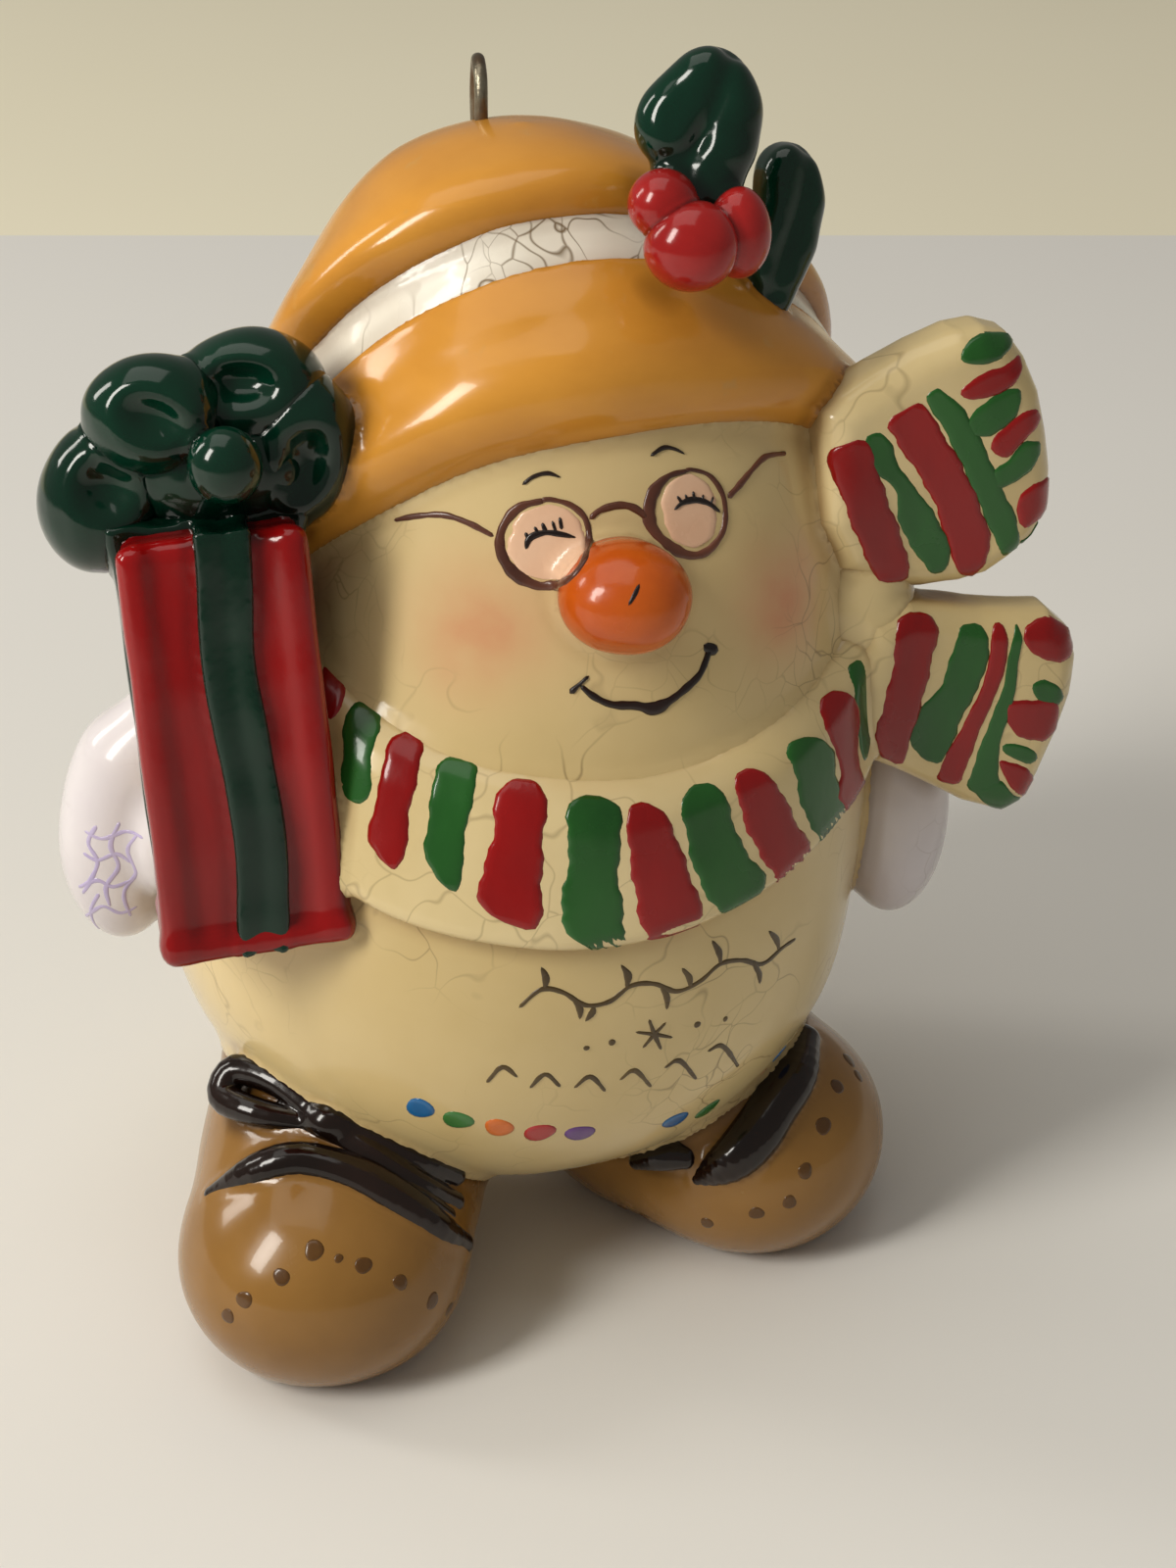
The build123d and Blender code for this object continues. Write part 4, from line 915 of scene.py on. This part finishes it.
def glaze(name, colour, second, rough=0.16, coat=0.28, scale=90.0, streak=(1, 1, 1), amount=0.6, craze=0.0, crease_shade_and_grime=None, crease_shade_and_grime_amount=0.5,
          blush=None, speck=None, bump=0.12, metal=0.0, wear=None):
    """Hand-painted glazed ceramic: brushed colour, unevenness under the glaze, optional crazing, and painted shade with
    some grime darkening the creases.
    """
    m = bpy.data.materials.new(name)
    m.use_nodes = True
    nt = m.node_tree
    N, L = nt.nodes, nt.links
    bs = N["Principled BSDF"]
    co = N.new("ShaderNodeTexCoord")
    mp = N.new("ShaderNodeMapping")
    mp.inputs["Scale"].default_value = streak
    L.new(co.outputs["Object"], mp.inputs["Vector"])
    nz = N.new("ShaderNodeTexNoise")
    nz.inputs["Scale"].default_value = scale
    nz.inputs["Detail"].default_value = 5.0
    nz.inputs["Roughness"].default_value = 0.55
    L.new(mp.outputs["Vector"], nz.inputs["Vector"])
    rp = N.new("ShaderNodeValToRGB")
    rp.color_ramp.elements[0].position = 0.5 - 0.28 * amount - 0.02
    rp.color_ramp.elements[0].color = second
    rp.color_ramp.elements[1].position = 0.5 + 0.22
    rp.color_ramp.elements[1].color = colour
    L.new(nz.outputs["Fac"], rp.inputs["Fac"])
    last = rp.outputs["Color"]

    def mix(fac, a, colour2):
        x = N.new("ShaderNodeMix")
        x.data_type = "RGBA"
        L.new(fac, x.inputs[0])
        L.new(a, x.inputs[6])
        x.inputs[7].default_value = colour2
        return x.outputs[2]

    def ramp(src, p0, v0, p1, v1):
        x = N.new("ShaderNodeMapRange")
        x.inputs["From Min"].default_value = p0
        x.inputs["From Max"].default_value = p1
        x.inputs["To Min"].default_value = v0
        x.inputs["To Max"].default_value = v1
        L.new(src, x.inputs["Value"])
        return x.outputs["Result"]

    def attr(nm):
        x = N.new("ShaderNodeAttribute")
        x.attribute_name = nm
        return x.outputs["Fac"]

    def times(a, b):
        x = N.new("ShaderNodeMath")
        x.operation = "MULTIPLY"
        L.new(a, x.inputs[0])
        L.new(b, x.inputs[1])
        return x.outputs[0]

    cloud = N.new("ShaderNodeTexNoise")
    cloud.inputs["Scale"].default_value = 260.0
    cloud.inputs["Detail"].default_value = 4.0
    L.new(co.outputs["Object"], cloud.inputs["Vector"])
    if blush is not None:
        last = mix(times(attr("blush"), ramp(cloud.outputs["Fac"], 0.25, 0.35, 0.7, 0.8)), last, blush)
    # painted shade: the colour is pulled toward a darker crease colour where the surface sinks between parts, standing
    # in for shade there, with some grime
    if crease_shade_and_grime is not None:
        last = mix(times(ramp(attr("crease"), 0.12, 0.0, 0.75, crease_shade_and_grime_amount), ramp(cloud.outputs["Fac"], 0.2, 0.55, 0.75, 1.0)), last, crease_shade_and_grime)
    height = [(nz.outputs["Fac"], 0.35)]
    if wear is not None:
        wn = N.new("ShaderNodeTexNoise")
        wn.inputs["Scale"].default_value = 420.0
        wn.inputs["Detail"].default_value = 6.0
        L.new(co.outputs["Object"], wn.inputs["Vector"])
        last = mix(ramp(wn.outputs["Fac"], 0.66, 0.0, 0.74, 0.75), last, wear)
    if craze > 0:
        cm = N.new("ShaderNodeTexNoise")
        cm.inputs["Scale"].default_value = 160.0
        L.new(co.outputs["Object"], cm.inputs["Vector"])
        warp = N.new("ShaderNodeMix")
        warp.data_type = "RGBA"
        warp.blend_type = "LINEAR_LIGHT"
        warp.inputs[0].default_value = 0.004
        L.new(co.outputs["Object"], warp.inputs[6])
        L.new(cm.outputs["Color"], warp.inputs[7])
        for sc, wdt, lo_, hi_ in ((190.0, 0.018, 0.50, 0.60), (420.0, 0.030, 0.55, 0.66)):
            vo = N.new("ShaderNodeTexVoronoi")
            vo.feature = "DISTANCE_TO_EDGE"
            vo.inputs["Scale"].default_value = sc
            L.new(warp.outputs[2], vo.inputs["Vector"])
            where = N.new("ShaderNodeTexNoise")
            where.inputs["Scale"].default_value = 55.0 if sc < 300 else 80.0
            where.inputs["Detail"].default_value = 2.0
            L.new(co.outputs["Object"], where.inputs["Vector"])
            line = ramp(vo.outputs["Distance"], 0.0, 1.0, wdt, 0.0)
            msk = times(line, ramp(where.outputs["Fac"], lo_, 0.0, hi_, craze))
            last = mix(msk, last, lin(112, 88, 52))
    L.new(last, bs.inputs["Base Color"])
    bs.inputs["Metallic"].default_value = metal
    L.new(ramp(cloud.outputs["Fac"], 0.3, rough * 0.8, 0.7, rough * 1.5), bs.inputs["Roughness"])
    bs.inputs["Coat Weight"].default_value = coat
    bs.inputs["Coat Roughness"].default_value = 0.06
    bs.inputs["IOR"].default_value = 1.5
    bs.inputs["Specular IOR Level"].default_value = 0.32
    bp = N.new("ShaderNodeBump")
    bp.inputs["Strength"].default_value = bump
    bp.inputs["Distance"].default_value = 0.0006
    L.new(nz.outputs["Fac"], bp.inputs["Height"])
    L.new(bp.outputs["Normal"], bs.inputs["Normal"])
    L.new(bp.outputs["Normal"], bs.inputs["Coat Normal"])
    return m


# each glaze's crease colour is a darker tone of its own colour, painted into the creases as shade with some grime
CREAM = glaze("cream_glaze", lin(227, 205, 154), lin(207, 181, 124), rough=0.17, scale=38, amount=0.7, craze=0.55,
              crease_shade_and_grime=lin(150, 108, 58), crease_shade_and_grime_amount=0.42, blush=lin(214, 128, 92), bump=0.10)
SCARF = glaze("scarf_cream_glaze", lin(230, 209, 160), lin(208, 184, 128), rough=0.17, scale=60, amount=0.7, craze=0.35,
              crease_shade_and_grime=lin(146, 104, 52), crease_shade_and_grime_amount=0.65, bump=0.14)
OCHRE = glaze("ochre_glaze", lin(224, 158, 62), lin(192, 126, 40), rough=0.17, scale=70, streak=(0.7, 0.7, 1.6), amount=0.8,
              crease_shade_and_grime=lin(104, 60, 18), crease_shade_and_grime_amount=0.75, bump=0.16, wear=lin(204, 150, 72))
WHITE = glaze("white_glaze", lin(246, 240, 226), lin(224, 212, 190), rough=0.25, scale=90, amount=0.8, craze=1.0,
              crease_shade_and_grime=lin(120, 78, 40), crease_shade_and_grime_amount=0.8, bump=0.25)
ORANGE = glaze("orange_glaze", lin(206, 96, 22), lin(170, 62, 10), rough=0.2, scale=170, amount=0.9, crease_shade_and_grime=lin(110, 36, 8), crease_shade_and_grime_amount=0.7, bump=0.2)
RED = glaze("red_glaze", lin(164, 12, 14), lin(104, 4, 5), rough=0.13, scale=75, streak=(1.3, 1.3, 0.35), amount=0.9, crease_shade_and_grime=lin(60, 2, 4), crease_shade_and_grime_amount=0.8, bump=0.25)
GREEN = glaze("green_glaze", lin(4, 50, 33), lin(1, 28, 18), rough=0.11, scale=90, amount=0.8, crease_shade_and_grime=lin(1, 16, 10), crease_shade_and_grime_amount=0.8, bump=0.18)
BERRY = glaze("berry_glaze", lin(176, 36, 34), lin(130, 12, 12), rough=0.15, scale=120, amount=0.8, crease_shade_and_grime=lin(70, 4, 4), crease_shade_and_grime_amount=0.8, bump=0.18, wear=lin(196, 74, 62))
GREY = glaze("grey_white_glaze", lin(236, 230, 228), lin(206, 198, 204), rough=0.17, scale=55, amount=0.9, crease_shade_and_grime=lin(132, 112, 96), crease_shade_and_grime_amount=0.6, craze=0.3, bump=0.14)
BROWN = glaze("brown_glaze", lin(156, 114, 56), lin(120, 82, 32), rough=0.19, scale=60, amount=0.9, crease_shade_and_grime=lin(60, 34, 10), crease_shade_and_grime_amount=0.85, bump=0.14)
LACE = glaze("dark_lace_glaze", lin(36, 20, 13), lin(16, 8, 5), rough=0.15, scale=130, amount=0.8, crease_shade_and_grime=lin(10, 5, 3), crease_shade_and_grime_amount=0.6, bump=0.2)
STRIPE_R = glaze("stripe_red", lin(158, 12, 12), lin(118, 5, 6), rough=0.2, scale=110, streak=(1.2, 1.2, 0.5), amount=0.9, bump=0.25)
STRIPE_G = glaze("stripe_green", lin(40, 102, 38), lin(20, 68, 22), rough=0.2, scale=110, streak=(1.2, 1.2, 0.5), amount=0.9, bump=0.25)
RIM = glaze("rim_brown", lin(112, 66, 48), lin(62, 34, 26), rough=0.24, scale=200, amount=0.9, bump=0.1)
LINE = glaze("line_brown", lin(38, 22, 18), lin(24, 14, 12), rough=0.24, scale=200, bump=0.1)
LENS = glaze("lens_pink", lin(240, 202, 170), lin(228, 178, 142), rough=0.2, scale=120, bump=0.08)
SCRIBE = glaze("scribe_brown", lin(98, 78, 42), lin(66, 50, 24), rough=0.24, scale=200, bump=0.1)
VIOLET = glaze("violet_stroke", lin(178, 164, 206), lin(196, 184, 214), rough=0.2, scale=200, bump=0.05)
SHOEDOT = glaze("shoe_dot", lin(98, 66, 28), lin(82, 52, 20), rough=0.2, scale=200, bump=0.05)
DOTC = {
    "blue": glaze("dot_blue", lin(36, 112, 170), lin(24, 86, 140), rough=0.2, scale=300),
    "green": glaze("dot_green", lin(70, 132, 66), lin(48, 104, 48), rough=0.2, scale=300),
    "orange": glaze("dot_orange", lin(222, 118, 48), lin(196, 92, 30), rough=0.2, scale=300),
    "red": glaze("dot_red", lin(182, 52, 52), lin(152, 34, 36), rough=0.2, scale=300),
    "purple": glaze("dot_purple", lin(118, 78, 146), lin(92, 56, 118), rough=0.2, scale=300),
}
STEEL = glaze("wire_steel", lin(150, 146, 128), lin(96, 70, 46), rough=0.34, coat=0.0, scale=500, amount=0.7, bump=0.3, metal=0.85)

LOOK = {
    "body_shell": (CREAM, "cream_glaze", 0.40), "nose": (ORANGE, "orange_glaze", 0.2),
    "hat_brim": (OCHRE, "ochre_glaze", 0.32), "hat_band": (WHITE, "white_glaze", 0.28), "hat_crown": (OCHRE, "ochre_glaze", 0.34),
    "scarf_wrap": (SCARF, "cream_glaze", 0.34), "scarf_knot": (SCARF, "cream_glaze", 0.25),
    "scarf_tail_upper": (SCARF, "cream_glaze", 0.24), "scarf_tail_lower": (SCARF, "cream_glaze", 0.24),
    "right_mitten": (GREY, "grey_white_glaze", 0.26), "left_mitten": (GREY, "grey_white_glaze", 0.26),
    "gift_box": (RED, "red_glaze", 0.24), "gift_ribbon": (GREEN, "green_glaze", 0.22), "gift_bow_knot": (GREEN, "green_glaze", 0.2),
    "bow_loop_outer": (GREEN, "green_glaze", 0.2), "bow_loop_top": (GREEN, "green_glaze", 0.2), "bow_loop_left": (GREEN, "green_glaze", 0.2),
    "bow_loop_inner": (GREEN, "green_glaze", 0.2),
    "right_shoe": (BROWN, "brown_glaze", 0.34), "left_shoe": (BROWN, "brown_glaze", 0.34),
    "right_lace_strap": (LACE, "dark_lace_glaze", 0.16), "right_lace_bow": (LACE, "dark_lace_glaze", 0.15),
    "left_lace_strap": (LACE, "dark_lace_glaze", 0.16), "left_lace_end": (LACE, "dark_lace_glaze", 0.14),
    "holly_leaf_front": (GREEN, "green_glaze", 0.18), "holly_leaf_rear": (GREEN, "green_glaze", 0.18),
    "berry_front": (BERRY, "berry_glaze", 0.16), "berry_side": (BERRY, "berry_glaze", 0.15), "berry_upper": (BERRY, "berry_glaze", 0.15),
}
SHARED = {"bow_loop_left": "bow_loop_outer"}          # two sculpted lobes stand for one CAD loop

for name in NAMES:
    mat, slot, h = LOOK[name]
    v, faces, attrs = sculpt(name, h * (1.0))
    ob = make("glazed_" + name, v, faces, mat, attrs)
    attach(ob, "root")
    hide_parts(SHARED.get(name, name))

# ---- brushed decoration ---------------------------------------------------------------------
MATS = {"red": STRIPE_R, "green": STRIPE_G, "lens": LENS, "rim": RIM, "line": LINE, "line_nose": LINE, "scribe": SCRIBE, "violet": VIOLET, "shoe_dot": SHOEDOT}
HIGH = {"lens": 0.05, "rim": 0.11, "line": 0.13, "line_nose": 0.05, "scribe": 0.06, "violet": 0.04, "shoe_dot": 0.05}
WIDE = {"line": 1.25, "rim": 1.12, "scribe": 1.25}
paints = {}
for colour, items in PATCHES.items():
    p = paints.setdefault("paint_" + colour, Paint())
    for k, (group, left, right) in enumerate(items):
        p.patch(group, left, right, HIGH.get(colour, (0.085 if colour == "red" else 0.06) + 0.008 * (k % 3)))
for colour, (group, items) in STROKES.items():
    p = paints.setdefault("paint_" + colour, Paint())
    for pts, widths in items:
        p.stroke(group, pts, [w * WIDE.get(colour, 1.0) for w in widths], HIGH[colour])
for colour, group, at, r in DOTS:
    key = ("paint_" if colour in MATS and colour not in DOTC else "dots_") + colour
    p = paints.setdefault(key, Paint())
    p.dot(group, at, r, HIGH.get(colour, 0.07))
for key in sorted(paints):
    colour = key.split("_", 1)[1]
    mat = DOTC[colour] if key.startswith("dots_") else MATS[colour]
    ob = paints[key].build(key, mat)
    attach(ob, "root")

wire = frame["nodes"]["wire_hanger"]
wire.data.materials.clear()
wire.data.materials.append(STEEL)
wire.data.polygons.foreach_set("use_smooth", np.ones(len(wire.data.polygons), bool))

# ---- table, light and camera ----------------------------------------------------------
def plain(name, colour, second, rough):
    m = bpy.data.materials.new(name)
    m.use_nodes = True
    N, L = m.node_tree.nodes, m.node_tree.links
    bs = N["Principled BSDF"]
    co = N.new("ShaderNodeTexCoord")
    nz = N.new("ShaderNodeTexNoise")
    nz.inputs["Scale"].default_value = 9.0
    L.new(co.outputs["Object"], nz.inputs["Vector"])
    rp = N.new("ShaderNodeValToRGB")
    rp.color_ramp.elements[0].color = second
    rp.color_ramp.elements[1].color = colour
    L.new(nz.outputs["Fac"], rp.inputs["Fac"])
    L.new(rp.outputs["Color"], bs.inputs["Base Color"])
    bs.inputs["Roughness"].default_value = rough
    return m


def sweep_stage(name, prof, mat):
    """profile in (distance behind the figure, height), mm, swept along the figure's side axis"""
    v, f = [], []
    for s in (-2600.0, 2600.0):
        for d, z in prof:
            v.append(loc(s, -d, z))
    n = len(prof)
    for i in range(n - 1):
        f.append((i, i + 1, n + i + 1, n + i))
    ob = make(name, np.array(v), f, mat)
    return ob


FLOOR = plain("table_white", lin(236, 234, 229), lin(231, 228, 222), 0.5)
WALL = plain("wall_cream", lin(246, 239, 214), lin(240, 232, 205), 0.7)
sweep_stage("table", [(-2600, -0.02), (188, -0.02)], FLOOR)
sweep_stage("far_band", [(188, -0.02), (2600, -0.02)], WALL)          # a warmer band of the same flat floor, behind the figure

E_CAM, F_CAM, D_CAM = math.radians(30.0), 84.0, 172.0
yaw = -TURN
bk = np.array([math.sin(yaw) * math.cos(E_CAM), -math.cos(yaw) * math.cos(E_CAM), math.sin(E_CAM)])
rt = np.array([math.cos(yaw), math.sin(yaw), 0.0])
upv = np.cross(bk, rt)
eye = rt * 5.0 + np.array([0, 0, 28.0]) + bk * D_CAM
cam = bpy.data.cameras.new("camera")
cam.sensor_fit, cam.sensor_width, cam.lens, cam.clip_start, cam.clip_end = "HORIZONTAL", 36.0, F_CAM, 0.005, 20.0
cob = bpy.data.objects.new("camera", cam)
bpy.context.scene.collection.objects.link(cob)
M = Matrix(((rt[0], upv[0], bk[0], 0), (rt[1], upv[1], bk[1], 0), (rt[2], upv[2], bk[2], 0), (0, 0, 0, 1)))
M.translation = Vector(tuple(world(eye)))
cob.matrix_world = M
bpy.context.scene.camera = cob


def lamp(name, at, aim, size, power, colour):
    li = bpy.data.lights.new(name, "AREA")
    li.shape, li.size, li.size_y, li.energy, li.color = "RECTANGLE", size[0], size[1], power, colour
    o = bpy.data.objects.new(name, li)
    bpy.context.scene.collection.objects.link(o)
    a, t = Vector(tuple(world(at))), Vector(tuple(world(aim)))
    o.matrix_world = Matrix.Translation(a) @ (t - a).to_track_quat("-Z", "Y").to_matrix().to_4x4()
    return o


lamp("window", loc(-390, 270, 380), (0, 0, 35), (0.13, 0.30), 2.35, (1.0, 0.965, 0.895))
lamp("window_two", loc(-560, -140, 330), (0, 0, 35), (0.10, 0.28), 0.85, (1.0, 0.965, 0.90))
lamp("ceiling", loc(-160, -40, 760), (0, 0, 30), (0.6, 0.6), 1.35, (1.0, 0.975, 0.92))
w = bpy.data.worlds.new("room")
w.use_nodes = True
w.node_tree.nodes["Background"].inputs["Color"].default_value = (1.0, 0.965, 0.90, 1.0)
w.node_tree.nodes["Background"].inputs["Strength"].default_value = 0.22
bpy.context.scene.world = w
bpy.context.scene.view_settings.view_transform = "Standard"

bpy.context.view_layer.update()
